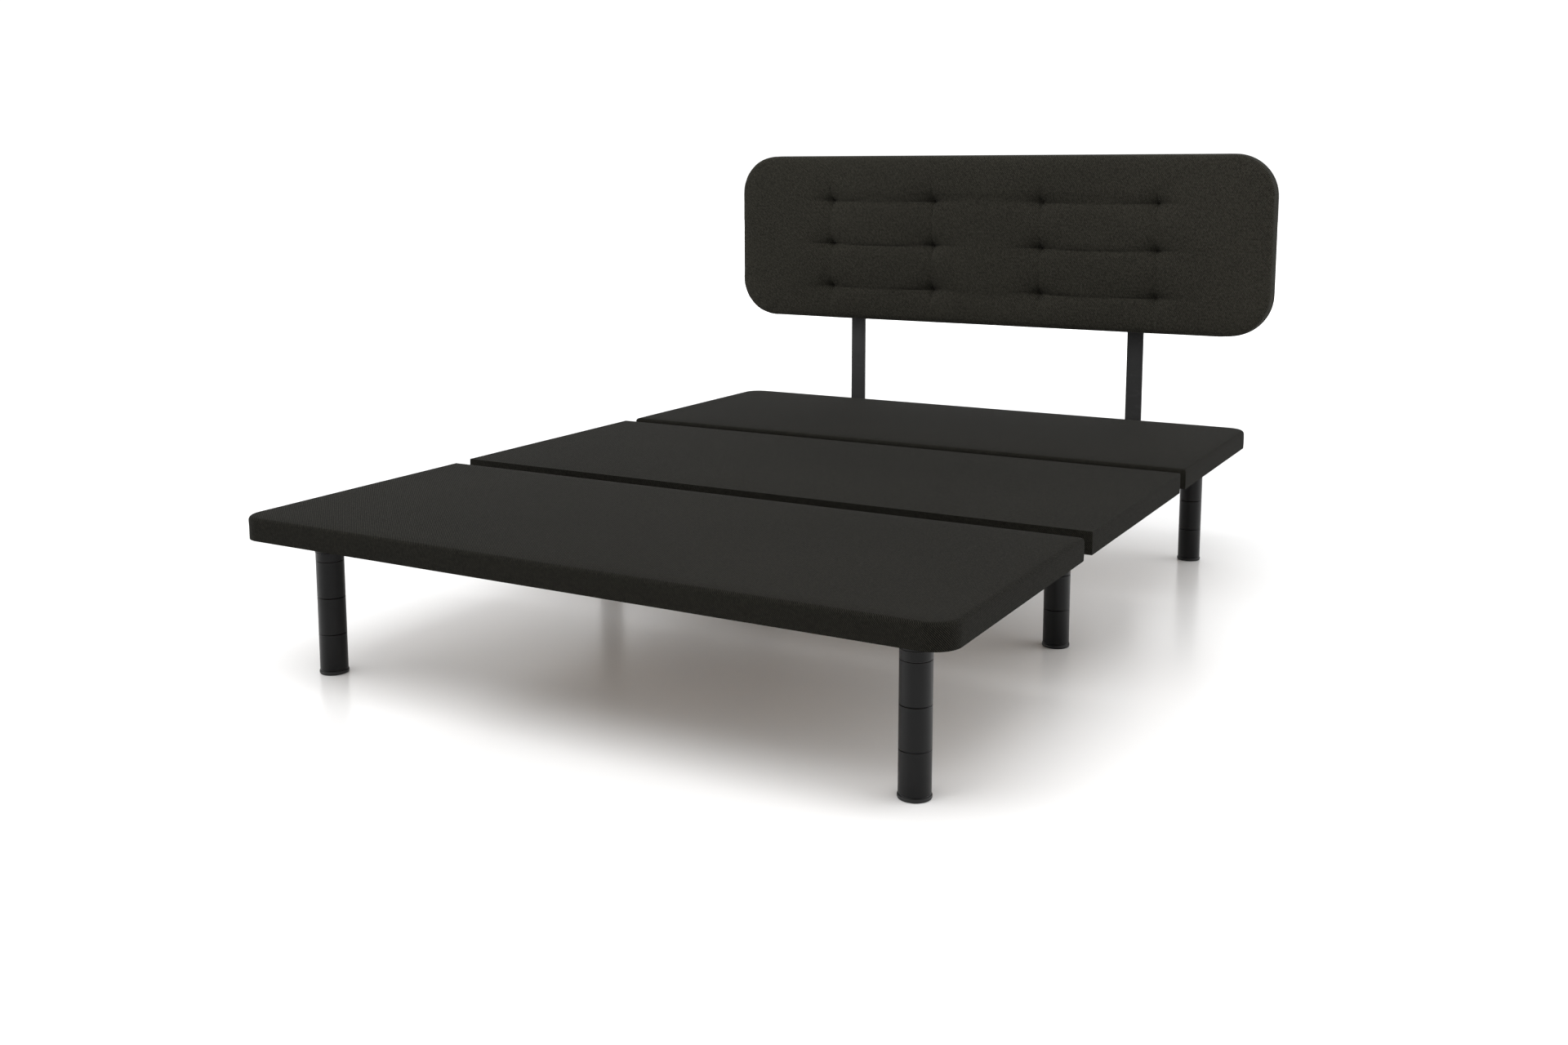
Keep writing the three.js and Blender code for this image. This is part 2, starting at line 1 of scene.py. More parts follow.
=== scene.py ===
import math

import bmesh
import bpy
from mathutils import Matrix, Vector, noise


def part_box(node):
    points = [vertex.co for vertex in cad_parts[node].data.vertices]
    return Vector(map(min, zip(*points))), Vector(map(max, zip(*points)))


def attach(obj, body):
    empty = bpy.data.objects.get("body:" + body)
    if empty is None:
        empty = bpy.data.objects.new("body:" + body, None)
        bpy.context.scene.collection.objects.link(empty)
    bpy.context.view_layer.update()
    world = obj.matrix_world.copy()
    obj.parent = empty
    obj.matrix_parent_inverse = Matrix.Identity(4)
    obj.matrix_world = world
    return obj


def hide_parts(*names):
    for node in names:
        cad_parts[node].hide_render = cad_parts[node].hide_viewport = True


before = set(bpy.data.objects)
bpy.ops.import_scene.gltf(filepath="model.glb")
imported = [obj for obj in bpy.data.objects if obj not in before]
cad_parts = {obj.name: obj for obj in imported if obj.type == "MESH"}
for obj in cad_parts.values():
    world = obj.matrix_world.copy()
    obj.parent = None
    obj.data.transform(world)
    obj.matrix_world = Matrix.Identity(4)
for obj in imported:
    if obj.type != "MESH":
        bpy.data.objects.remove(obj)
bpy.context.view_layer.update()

# %% [markdown]
# # An upholstered adjustable bed base
#
# The bed is a queen-size deck in three padded sections. The middle one is fixed; the head and foot
# sections lift on hinges, pushed by two linear actuators under the seat. The deck stands on six round
# legs screwed together from short segments, and a padded headboard is bolted behind it.
#
# The steel frame comes from the CAD model and is never moved. What is made here is everything that CAD
# leaves plain: the cloth, the padding, the turned legs, the small hardware and every finish.

scene = bpy.context.scene
MM = 0.001
AIR = 0.3 * MM                      # the air that the CAD model leaves between touching pieces

seat_low, seat_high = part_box("seat_cover")
head_low, head_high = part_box("head_cover")
foot_low, foot_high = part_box("foot_cover")
board_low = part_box("head_board")[0]
cushion_low, cushion_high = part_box("headboard_cushion")
deck_middle = (seat_low.y + seat_high.y) / 2
print("deck", round(seat_high.x - seat_low.x, 3), "x", round(head_high.y - foot_low.y, 3),
      "top", round(seat_high.z, 3), "headboard", [round(s, 3) for s in cushion_high - cushion_low])

# %% [markdown]
# ## The camera
#
# A camera comes first, so that every later piece can be judged in the same view. It stands off the bed's
# right foot corner at eye height, almost level. Lowering the lens's axis with the camera's pitch would
# make the legs lean, so part of the framing is done with a small vertical shift instead.

# %% Camera
CAMERA_FROM_DECK = Vector((1.6114, -3.0590, 1.0137))
CAMERA_YAW, CAMERA_PITCH = 0.5066, 0.1366
camera_data = bpy.data.cameras.new("camera")
camera_data.sensor_width = 36
camera_data.lens = 34.755
camera_data.shift_y = -0.0901
camera = bpy.data.objects.new("camera", camera_data)
camera.location = CAMERA_FROM_DECK + Vector((0, deck_middle, 0))
camera.rotation_euler = (math.pi / 2 - CAMERA_PITCH, 0, CAMERA_YAW)
scene.collection.objects.link(camera)
scene.camera = camera
print("camera", [round(c, 3) for c in camera.location])

# %% [markdown]
# ## Helpers for materials
#
# Every finish below is a small network of nodes. A few helpers keep those networks readable: they add a
# node and set its inputs to a number or another node's output, do arithmetic on sockets, and start a
# node group with named inputs and outputs, so that an effect such as the weave is built once.

# %% Node helpers
def set_inputs(tree, node, inputs):
    for name, value in inputs.items():
        if isinstance(value, bpy.types.NodeSocket):
            tree.links.new(value, node.inputs[name])
        else:
            node.inputs[name].default_value = value


def add_node(tree, kind, inputs=None, **settings):
    node = tree.nodes.new("ShaderNode" + kind)
    for name, value in settings.items():
        setattr(node, name, value)
    set_inputs(tree, node, inputs or {})
    return node


def grey(tree, value):
    """The same value as red, green and blue."""
    return add_node(tree, "CombineColor", {"Red": value, "Green": value, "Blue": value}).outputs[0]


def maths(tree, operation, *values, clamp=False):
    inputs = dict(enumerate(values))
    return add_node(tree, "Math", inputs, operation=operation, use_clamp=clamp).outputs[0]


def ramp(tree, value, low, high, to_low=0.0, to_high=1.0, smooth=True):
    inputs = {"Value": value, "From Min": low, "From Max": high, "To Min": to_low, "To Max": to_high}
    kind = "SMOOTHSTEP" if smooth else "LINEAR"
    return add_node(tree, "MapRange", inputs, interpolation_type=kind).outputs["Result"]


def blend_colours(tree, factor, first, second, kind="MIX"):
    node = add_node(tree, "Mix", data_type="RGBA", blend_type=kind)
    sockets = {s.name: s for s in node.inputs if s.type == ("VALUE" if s.name == "Factor" else "RGBA")}
    for name, value in (("Factor", factor), ("A", first), ("B", second)):
        if isinstance(value, bpy.types.NodeSocket):
            tree.links.new(value, sockets[name])
        else:
            sockets[name].default_value = value
    return next(s for s in node.outputs if s.type == "RGBA")


def start_group(name, inputs, outputs):
    tree = bpy.data.node_groups.new(name, "ShaderNodeTree")
    kinds = {"value": "NodeSocketFloat", "vector": "NodeSocketVector", "colour": "NodeSocketColor"}
    for title, kind, default in inputs:
        socket = tree.interface.new_socket(title, in_out="INPUT", socket_type=kinds[kind])
        socket.default_value = default
    for title, kind in outputs:
        tree.interface.new_socket(title, in_out="OUTPUT", socket_type=kinds[kind])
    return tree, tree.nodes.new("NodeGroupInput").outputs, tree.nodes.new("NodeGroupOutput").inputs


def use_group(tree, group, inputs):
    return add_node(tree, "Group", inputs, node_tree=group).outputs


finishes = {}                       # every finish of the bed, by the name of its slot


def start_material(name):
    finishes[name] = material = bpy.data.materials.new(name)
    material.use_nodes = True
    return material, material.node_tree, material.node_tree.nodes["Principled BSDF"]


print("node helpers ready")

# %% [markdown]
# ## Floor and light
#
# A studio picture of dark furniture wants a white floor that runs into a white background, and large
# soft lights. The floor is plain and slightly glossy near the bed, and glows a little further out, so
# that no horizon shows. The world is bright at the sides and dimmer behind the camera: on a
# round dark leg that leaves a darker middle between two soft highlights, which shows that it is round.

# %% Floor
def make_floor():
    bm = bmesh.new()
    bmesh.ops.create_circle(bm, cap_ends=True, segments=64, radius=30)
    mesh = bpy.data.meshes.new("floor")
    bm.to_mesh(mesh)
    bm.free()
    floor = bpy.data.objects.new("floor", mesh)
    scene.collection.objects.link(floor)
    finish, tree, shader = start_material("studio_floor")
    place = add_node(tree, "TexCoord").outputs["Object"]
    distance = add_node(tree, "VectorMath", {0: place}, operation="LENGTH").outputs["Value"]
    set_inputs(tree, shader, {
        "Base Color": (0.9, 0.9, 0.9, 1), "Roughness": 0.22, "Specular IOR Level": 0.3,
        "Emission Strength": 0.7, "Emission Color": grey(tree, ramp(tree, distance, 2.4, 5.5)),
    })
    mesh.materials.append(finish)


make_floor()

# %% Lights
WORLD_BRIGHT, WORLD_DIM, SIDE_BOOST = 1.1, 0.3, 1.2


def dot_product(tree, first, second):
    return add_node(tree, "VectorMath", {0: first, 1: second}, operation="DOT_PRODUCT").outputs["Value"]


def make_world():
    world = bpy.data.worlds.new("studio")
    world.use_nodes = True
    tree = world.node_tree
    direction = add_node(tree, "TexCoord").outputs["Generated"]
    towards_camera = (math.sin(CAMERA_YAW), -math.cos(CAMERA_YAW), 0.1)
    facing = dot_product(tree, direction, towards_camera)
    strength = ramp(tree, facing, 0.3, 0.9, WORLD_BRIGHT, WORLD_DIM)
    to_the_side = (math.cos(CAMERA_YAW), math.sin(CAMERA_YAW), 0)
    sideways = dot_product(tree, direction, to_the_side)
    boost = ramp(tree, maths(tree, "ABSOLUTE", sideways), 0.6, 0.95, 0, SIDE_BOOST)
    strength = maths(tree, "ADD", strength, boost)
    seen = add_node(tree, "LightPath").outputs["Is Camera Ray"]
    strength = maths(tree, "MAXIMUM", strength, seen)
    set_inputs(tree, tree.nodes["Background"], {"Color": (1, 1, 1, 1), "Strength": strength})
    scene.world = world


def make_area_light(name, place, aim, size, power):
    data = bpy.data.lights.new(name, "AREA")
    data.shape = "RECTANGLE"
    data.size, data.size_y = size
    data.energy = power
    light = bpy.data.objects.new(name, data)
    light.location = place
    light.rotation_euler = (Vector(aim) - Vector(place)).to_track_quat("-Z", "Y").to_euler()
    scene.collection.objects.link(light)


make_world()
scene.view_settings.view_transform = "Standard"
make_area_light("overhead", (0.5, -2.4, 4.4), (0, -0.4, 0.3), (5.0, 3.4), 165)

# %% [markdown]
# ## The weave
#
# The bed's cloth is a coarse diagonal twill. Thick weft yarns float over the warp in steps, so the eye
# sees slanting ribs about 3 mm apart, each one a row of short plump stitches with a dark groove
# beside it. The group works in metres on a flat cloth: it turns the cloth by 45 degrees, makes
# a rounded wave across the ribs, breaks each rib into stitches, and shifts each row against the next.
# It gives a height for the bump and a mask of the raised yarn, from that height, which the cloths use to
# paint shade into the grooves.

# %% Twill group
def make_twill_group():
    tree, given, result = start_group("diagonal_twill", [
        ("Cloth", "vector", (0, 0, 0)),
        ("Rib Pitch", "value", 0.0029),
        ("Stitch Length", "value", 0.0042),
    ], [("Height", "value"), ("Yarn", "value"), ("Shade", "value")])
    parts = add_node(tree, "SeparateXYZ", {"Vector": given["Cloth"]}).outputs
    wander = add_node(tree, "TexNoise", {"Vector": given["Cloth"], "Scale": 55.0, "Detail": 1.0})
    sway = maths(tree, "MULTIPLY", maths(tree, "SUBTRACT", wander.outputs["Fac"], 0.5), 0.0011)
    slope = math.sqrt(0.5)
    across = maths(tree, "MULTIPLY", maths(tree, "ADD", parts["X"], parts["Y"]), slope)
    along = maths(tree, "MULTIPLY", maths(tree, "SUBTRACT", parts["X"], parts["Y"]), slope)
    rib = maths(tree, "DIVIDE", maths(tree, "ADD", across, sway), given["Rib Pitch"])
    row = maths(tree, "FLOOR", rib)
    wave = maths(tree, "SINE", maths(tree, "MULTIPLY", maths(tree, "FRACT", rib), math.pi))
    step = maths(tree, "ADD", maths(tree, "DIVIDE", along, given["Stitch Length"]),
                 maths(tree, "ADD", maths(tree, "MULTIPLY", row, 0.38), maths(tree, "FRACT", rib)))
    stitch = maths(tree, "SINE", maths(tree, "MULTIPLY", maths(tree, "FRACT", step), math.pi))
    plump = maths(tree, "POWER", stitch, 0.45)
    swell = ramp(tree, plump, 0, 1, 0.45, 1.0, False)
    height = maths(tree, "MULTIPLY", maths(tree, "POWER", wave, 0.9), swell)
    tree.links.new(height, result["Height"])
    # the yarn mask follows the height, so the low grooves are where the cloths paint shade
    tree.links.new(ramp(tree, height, 0.32, 0.92), result["Yarn"])
    cell = add_node(tree, "CombineXYZ", {"X": row, "Y": maths(tree, "FLOOR", step)})
    fleck = add_node(tree, "TexWhiteNoise", {"Vector": cell.outputs[0]}, noise_dimensions="3D")
    cloud = add_node(tree, "TexNoise", {"Vector": given["Cloth"], "Scale": 2.4, "Detail": 2.0})
    mottle = add_node(tree, "TexNoise", {"Vector": given["Cloth"], "Scale": 180.0, "Detail": 1.0})
    shade = maths(tree, "MULTIPLY", fleck.outputs["Value"], 0.36)
    shade = maths(tree, "ADD", shade, ramp(tree, mottle.outputs["Fac"], 0.3, 0.7, 0.0, 0.34))
    shade = maths(tree, "ADD", shade, ramp(tree, cloud.outputs["Fac"], 0.3, 0.7, 0.53, 0.64))
    tree.links.new(shade, result["Shade"])
    return tree


twill = make_twill_group()
print("group", twill.name, [s.name for s in twill.interface.items_tree])

# %% [markdown]
# ## Laying flat cloth over a solid
#
# On the headboard the cloth has no flat pattern of its own, so its place is worked out from the surface:
# the front takes X and Z, the top and bottom edges X and Y, the ends Y and Z. The object's own normal
# says which, so the pattern stays with the piece when it moves.

# %% Cloth coordinates from the surface
def make_wrap_group():
    tree, given, result = start_group("wrap_cloth", [
        ("Place", "vector", (0, 0, 0)), ("Facing", "vector", (0, 0, 1)),
    ], [("Cloth", "vector")])
    place = add_node(tree, "SeparateXYZ", {"Vector": given["Place"]}).outputs
    facing = add_node(tree, "SeparateXYZ", {"Vector": given["Facing"]}).outputs
    size = {axis: maths(tree, "ABSOLUTE", facing[axis]) for axis in "XYZ"}
    on_end = maths(tree, "GREATER_THAN", size["X"], maths(tree, "MAXIMUM", size["Y"], size["Z"]))
    on_top = maths(tree, "GREATER_THAN", size["Z"], maths(tree, "MAXIMUM", size["X"], size["Y"]))
    front = add_node(tree, "CombineXYZ", {"X": place["X"], "Y": place["Z"]}).outputs[0]
    end = add_node(tree, "CombineXYZ", {"X": place["Y"], "Y": place["Z"]}).outputs[0]
    top = add_node(tree, "CombineXYZ", {"X": place["X"], "Y": place["Y"]}).outputs[0]
    first = add_node(tree, "Mix", {"Factor": on_end}, data_type="VECTOR")
    second = add_node(tree, "Mix", {"Factor": on_top}, data_type="VECTOR")
    tree.links.new(front, first.inputs[4])
    tree.links.new(end, first.inputs[5])
    tree.links.new(first.outputs[1], second.inputs[4])
    tree.links.new(top, second.inputs[5])
    tree.links.new(second.outputs[1], result["Cloth"])
    return tree


wrap = make_wrap_group()
print("group", wrap.name)

# %% [markdown]
# ## Small surface effects
#
# Paint, plastic and cast metal all need the same two things: a very fine unevenness that breaks up
# reflections, and large faint patches where the finish is a little duller. Handled or rubbed places
# also differ slightly in gloss. One group gives all of it, with its scale as an input.

# %% Surface grain group
def make_grain_group():
    tree, given, result = start_group("surface_grain", [
        ("Place", "vector", (0, 0, 0)), ("Grain Scale", "value", 900.0), ("Patch Scale", "value", 9.0),
    ], [("Height", "value"), ("Patches", "value"), ("Scuffs", "value")])
    place = given["Place"]
    fine = add_node(tree, "TexNoise", {"Vector": place, "Scale": given["Grain Scale"], "Detail": 2.0})
    patch = add_node(tree, "TexNoise", {
        "Vector": place, "Scale": given["Patch Scale"], "Detail": 4.0, "Roughness": 0.6,
    })
    streaks = add_node(tree, "Mapping", {"Vector": place, "Scale": (30, 300, 60)})
    scuff = add_node(tree, "TexNoise", {"Vector": streaks.outputs[0], "Scale": 1.0, "Detail": 3.0})
    tree.links.new(fine.outputs["Fac"], result["Height"])
    tree.links.new(ramp(tree, patch.outputs["Fac"], 0.35, 0.65), result["Patches"])
    tree.links.new(ramp(tree, scuff.outputs["Fac"], 0.62, 0.72), result["Scuffs"])
    return tree


grain = make_grain_group()
print("group", grain.name)

# %% [markdown]
# ## The cloths
#
# Both cloths are the same charcoal twill, a touch warm, but the deck's copy is painted darker than the
# headboard's, as painted shade along the deck's band. Dark cloth in a bright room is easy to get wrong:
# with too much sheen it turns grey. So the yarn carries the colour, the grooves are painted near black as
# the shade that falls in them, and the sheen is only a trace. A Bump node turns the weave's height into
# relief of a third of a millimetre.

# %% Twill materials
def dress_in_twill(name, yarn_colour, groove_painted_shade, from_surface, rib_pitch):
    _, tree, shader = start_material(name)
    if from_surface:
        place = add_node(tree, "TexCoord").outputs
        cloth = use_group(tree, wrap, {"Place": place["Object"], "Facing": place["Normal"]})["Cloth"]
    else:
        cloth = add_node(tree, "UVMap", uv_map="cloth").outputs["UV"]
    weave = use_group(tree, twill, {"Cloth": cloth, "Rib Pitch": rib_pitch})
    # painted shade: where the weave is low, the grooves take the near-black groove colour
    colour = blend_colours(tree, weave["Yarn"], groove_painted_shade, yarn_colour)
    bump = add_node(tree, "Bump", {"Height": weave["Height"], "Distance": 0.0004, "Strength": 0.9})
    set_inputs(tree, shader, {
        "Base Color": blend_colours(tree, 1.0, colour, grey(tree, weave["Shade"]), "MULTIPLY"),
        "Roughness": ramp(tree, weave["Yarn"], 0, 1, 0.98, 0.82, False),
        "Specular IOR Level": 0.05, "Sheen Weight": 0.015, "Sheen Roughness": 0.45,
        "Normal": bump.outputs[0],
    })


RIB_PITCH = 2.8 * MM
# painted shade: the deck's yarn is the headboard's twill made darker, for the shade along the deck's band
DECK_YARN_WITH_PAINTED_SHADE, HEADBOARD_YARN = (0.0185, 0.0176, 0.0138, 1), (0.045, 0.0428, 0.0338, 1)
# painted shade: the near-black colour of the grooves between the ribs
GROOVE_PAINTED_SHADE = (0.0012, 0.0011, 0.0008, 1)
dress_in_twill("deck_twill", DECK_YARN_WITH_PAINTED_SHADE, GROOVE_PAINTED_SHADE, False, RIB_PITCH)
dress_in_twill("headboard_twill", HEADBOARD_YARN, GROOVE_PAINTED_SHADE, True, RIB_PITCH)
print("cloths", list(finishes)[1:])

# %% [markdown]
# ## Paint, steel and plastic
#
# The legs have a smooth satin paint, and the hidden frame a coarser powder coat. The push rods and hinge
# shafts are bright zinc. The housings are black nylon with the fine spark-eroded grain of a
# mould. Each is the same recipe with other numbers, so one function makes them all.

# %% Hard finishes
def hard_finish(name, colour, roughness, metallic, grain_scale, relief, specular=0.5, dull=0.1, scuffed=0.0):
    _, tree, shader = start_material(name)
    place = add_node(tree, "TexCoord").outputs["Object"]
    surface = use_group(tree, grain, {"Place": place, "Grain Scale": grain_scale})
    darker = tuple(c * 0.86 for c in colour[:3]) + (1,)
    lighter = tuple(min(1, c * 1.5 + 0.01) for c in colour[:3]) + (1,)
    base = blend_colours(tree, surface["Patches"], colour, darker)
    if scuffed:
        marks = maths(tree, "MULTIPLY", surface["Scuffs"], scuffed)
        base = blend_colours(tree, marks, base, lighter)
    bump = add_node(tree, "Bump", {"Height": surface["Height"], "Distance": relief})
    set_inputs(tree, shader, {
        "Base Color": base, "Metallic": metallic, "Specular IOR Level": specular,
        "Roughness": ramp(tree, surface["Patches"], 0, 1, roughness, roughness + dull, False),
        "Normal": bump.outputs[0],
    })


hard_finish("leg_paint", (0.004, 0.004, 0.0041, 1), 0.33, 0, 1600, 0.00002, 0.19, 0.05, 0.1)
hard_finish("frame_paint", (0.012, 0.012, 0.012, 1), 0.48, 0, 900, 0.00006, 0.4, 0.12, 0.3)
hard_finish("glide_plastic", (0.010, 0.010, 0.010, 1), 0.5, 0, 1400, 0.00003, 0.35, 0.1)
hard_finish("bright_steel", (0.55, 0.56, 0.57, 1), 0.24, 1, 700, 0.00001, 0.5, 0.14, 0.4)
hard_finish("motor_plastic", (0.014, 0.0145, 0.016, 1), 0.5, 0, 1100, 0.00008, 0.4, 0.1)
hard_finish("box_plastic", (0.018, 0.0185, 0.02, 1), 0.55, 0, 1000, 0.0001, 0.4, 0.08)
print("finishes", list(finishes))

# %% [markdown]
# ## Plywood
#
# The boards show underneath when a section is up. Poplar plywood has long soft grain: bands of noise
# stretched along the sheet, warped a little, with thin darker pores. The edge shows the plies, so the
# colour there follows the height in the board instead.

# %% Plywood material
def make_plywood():
    _, tree, shader = start_material("plywood")
    place = add_node(tree, "TexCoord").outputs
    sheet = place["Object"]
    long_grain = add_node(tree, "Mapping", {"Vector": sheet, "Scale": (0.7, 7.0, 7.0)}).outputs[0]
    figure = add_node(tree, "TexNoise", {
        "Vector": long_grain, "Scale": 2.2, "Detail": 5.0, "Distortion": 1.1,
    }).outputs["Fac"]
    fine = add_node(tree, "Mapping", {"Vector": sheet, "Scale": (8.0, 420.0, 1.0)}).outputs[0]
    pores = add_node(tree, "TexNoise", {"Vector": fine, "Scale": 1.0, "Detail": 2.0}).outputs["Fac"]
    early, late, pore = (0.40, 0.30, 0.20, 1), (0.27, 0.19, 0.12, 1), (0.14, 0.09, 0.055, 1)
    face = blend_colours(tree, ramp(tree, figure, 0.35, 0.68), early, late)
    face = blend_colours(tree, ramp(tree, pores, 0.58, 0.74, 0, 0.45), face, pore)
    parts = add_node(tree, "SeparateXYZ", {"Vector": place["Object"]}).outputs
    height = maths(tree, "SUBTRACT", parts["Z"], board_low.z)
    plies = maths(tree, "FRACT", maths(tree, "DIVIDE", height, 4 * MM))
    edge = blend_colours(tree, ramp(tree, plies, 0.46, 0.54), early, pore)
    upright = add_node(tree, "SeparateXYZ", {"Vector": place["Normal"]}).outputs["Z"]
    is_face = maths(tree, "GREATER_THAN", maths(tree, "ABSOLUTE", upright), 0.5)
    bump = add_node(tree, "Bump", {"Height": pores, "Distance": 0.00015, "Strength": 0.6})
    set_inputs(tree, shader, {
        "Base Color": blend_colours(tree, is_face, edge, face),
        "Roughness": ramp(tree, figure, 0.3, 0.7, 0.55, 0.72),
        "Normal": bump.outputs[0],
    })


make_plywood()
print("finishes", len(finishes))

# %% [markdown]
# ## Helpers for pieces
#
# A new piece starts as a bmesh, is shaped with bmesh operators, and then goes through one gate that
# turns it into an object, keeps sharp edges sharp, gives it its finish and fixes it to its part of
# the frame.

# %% Piece helpers
SHARP = math.radians(34)


def shade_smoothly(bm):
    for face in bm.faces:
        face.smooth = True
    for edge in bm.edges:
        edge.smooth = len(edge.link_faces) == 2 and edge.calc_face_angle(0) < SHARP


def make_piece(name, bm, body, slot, replaces=()):
    bmesh.ops.remove_doubles(bm, verts=bm.verts, dist=1e-6)
    bmesh.ops.recalc_face_normals(bm, faces=bm.faces)
    shade_smoothly(bm)
    mesh = bpy.data.meshes.new(name)
    bm.to_mesh(mesh)
    bm.free()
    mesh.materials.append(finishes[slot])
    piece = bpy.data.objects.new(name, mesh)
    scene.collection.objects.link(piece)
    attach(piece, body)
    if replaces:
        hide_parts(*replaces)
    return piece


def standing(place, direction=(0, 0, 1)):
    """The matrix that stands a shape made round Z on a place, pointing in a direction."""
    turn = Vector(direction).to_track_quat("Z", "Y").to_matrix().to_4x4()
    return Matrix.Translation(place) @ turn


def turn_profile(bm, profile, where, steps=96):
    """Spins a profile of (radius, height) points once round Z, then puts it where it belongs."""
    older = set(bm.verts)
    start = [bm.verts.new((radius, 0, height)) for radius, height in profile]
    edges = [bm.edges.new(pair) for pair in zip(start, start[1:])]
    bmesh.ops.spin(bm, geom=start + edges, cent=(0, 0, 0), axis=(0, 0, 1), angle=math.tau, steps=steps,
                   use_merge=True)
    fresh = [v for v in bm.verts if v not in older]
    bmesh.ops.remove_doubles(bm, verts=fresh, dist=1e-7)
    bmesh.ops.transform(bm, matrix=where, verts=[v for v in fresh if v.is_valid])


def round_edges(bm, edges, offset, segments=2):
    bmesh.ops.bevel(bm, geom=edges, offset=offset, segments=segments, profile=0.5, affect="EDGES",
                    material=-1)


def add_block(bm, low, high, rounding=0.0, segments=2):
    """A block between two corners with its edges rounded over."""
    low, high = Vector(low), Vector(high)
    size = high - low
    verts = bmesh.ops.create_cube(bm, size=1)["verts"]
    bmesh.ops.scale(bm, vec=size, verts=verts)
    bmesh.ops.translate(bm, vec=(low + high) / 2, verts=verts)
    if rounding:
        round_edges(bm, list({e for v in verts for e in v.link_edges}), rounding, segments)


print("helpers ready")

# %% [markdown]
# ## Softening the CAD steel
#
# The steel frame keeps its CAD shape, but real tube has rounded corners that catch the light. The CAD
# mesh itself must not change, so modifiers do it: Weld joins its loose triangles, a planar Decimate
# clears the flat faces, Bevel rounds the edges and Weighted Normal keeps the flats looking flat.

# %% CAD nodes that stay
def soften(node, slot, rounding):
    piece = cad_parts[node]
    piece.data.materials.clear()
    piece.data.materials.append(finishes[slot])
    for face in piece.data.polygons:
        face.use_smooth = True
    weld = piece.modifiers.new("weld", "WELD")
    weld.merge_threshold = 0.00001
    flats = piece.modifiers.new("flats", "DECIMATE")
    flats.decimate_type = "DISSOLVE"
    flats.angle_limit = math.radians(1)
    bevel = piece.modifiers.new("edges", "BEVEL")
    bevel.width = rounding
    bevel.segments = 2
    bevel.limit_method = "ANGLE"
    bevel.angle_limit = math.radians(40)
    piece.modifiers.new("flat_shading", "WEIGHTED_NORMAL")


tubes = ["chassis_rail_left", "chassis_rail_right", "chassis_crossbar_head", "chassis_crossbar_foot",
         "chassis_crossbar_middle", "seat_beam_head", "seat_beam_foot"]
for end in ("head", "foot"):
    tubes += [f"{end}_lever_bar", f"{end}_far_bar", f"{end}_arm_left", f"{end}_arm_right"]
for node in tubes:
    soften(node, "frame_paint", 2.2 * MM)
for node in ("headboard_post_left", "headboard_post_right"):
    soften(node, "frame_paint", 1.2 * MM)
for node in ("head_actuator_tube", "foot_actuator_tube"):
    soften(node, "frame_paint", 0.8 * MM)
for node in ("hinge_shaft_head", "hinge_shaft_foot", "head_rod", "foot_rod"):
    soften(node, "bright_steel", 0.8 * MM)
for node in ("head_motor", "foot_motor"):
    soften(node, "motor_plastic", 1.5 * MM)
soften("control_box", "box_plastic", 0.8 * MM)
for node in ("head_board", "seat_board", "foot_board"):
    soften(node, "plywood", 0.5 * MM)
print("softened", len(tubes) + 13, "CAD nodes")

# %% [markdown]
# ## The legs
#
# Each leg is a stack of short steel cups that screw into one another, standing on a plastic glide. Turned
# parts are made the way a lathe makes them: half a cross-section spun once round. A small chamfer on
# both rims makes the thin dark line that shows where two segments meet. The segments are hollow from
# below, as the real ones are.

# %% Legs
LEG_CHAMFER = 1.0 * MM
LEG_WALL = 2.5 * MM


def leg_centre(node):
    low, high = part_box(node)
    return (low + high) / 2, low.z, high.z


def turn_leg_segment(node, radius):
    centre, low, high = leg_centre(node)
    bore = radius - LEG_WALL
    bm = bmesh.new()
    turn_profile(bm, [
        (0, high - LEG_WALL), (bore, high - LEG_WALL), (bore, low + LEG_CHAMFER / 2),
        (bore + LEG_CHAMFER / 2, low), (radius - LEG_CHAMFER, low), (radius, low + LEG_CHAMFER),
        (radius, high - LEG_CHAMFER), (radius - LEG_CHAMFER, high), (0, high),
    ], standing((centre.x, centre.y, 0)))
    return make_piece(f"{node}_turned", bm, "chassis", "leg_paint", [node])


def turn_glide(node, radius):
    centre, low, high = leg_centre(node)
    rim = radius + 1.3 * MM
    bm = bmesh.new()
    turn_profile(bm, [
        (0, low + 1.2 * MM), (rim - 9 * MM, low + 1.2 * MM), (rim - 7 * MM, low), (rim - 2.4 * MM, low),
        (rim - 0.7 * MM, low + 0.7 * MM), (rim, low + 2.4 * MM), (rim, high - 2.0 * MM),
        (rim - 0.5 * MM, high - 1.2 * MM), (radius - 1.0 * MM, high - 1.0 * MM),
        (radius - 1.6 * MM, high), (0, high),
    ], standing((centre.x, centre.y, 0)))
    return make_piece(f"{node}_moulded", bm, "chassis", "glide_plastic", [node])


leg_names = sorted(n[:-len("_glide")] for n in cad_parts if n.endswith("_glide"))
leg_low, leg_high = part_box(f"{leg_names[0]}_lower")
leg_radius = (leg_high.x - leg_low.x) / 2
for leg in leg_names:
    turn_glide(f"{leg}_glide", leg_radius)
    for segment in ("lower", "middle", "upper"):
        turn_leg_segment(f"{leg}_{segment}", leg_radius)
print("legs", len(leg_names), "radius", round(leg_radius, 4))

# %% [markdown]
# The top of each leg screws into a socket under the frame, and the tube runs through a boss on top of it.
# The CAD socket is a plain prism, so a turned sleeve slips over it, a tenth of a millimetre
# larger. The boss above is turned as well, with a ring of weld where the two meet.

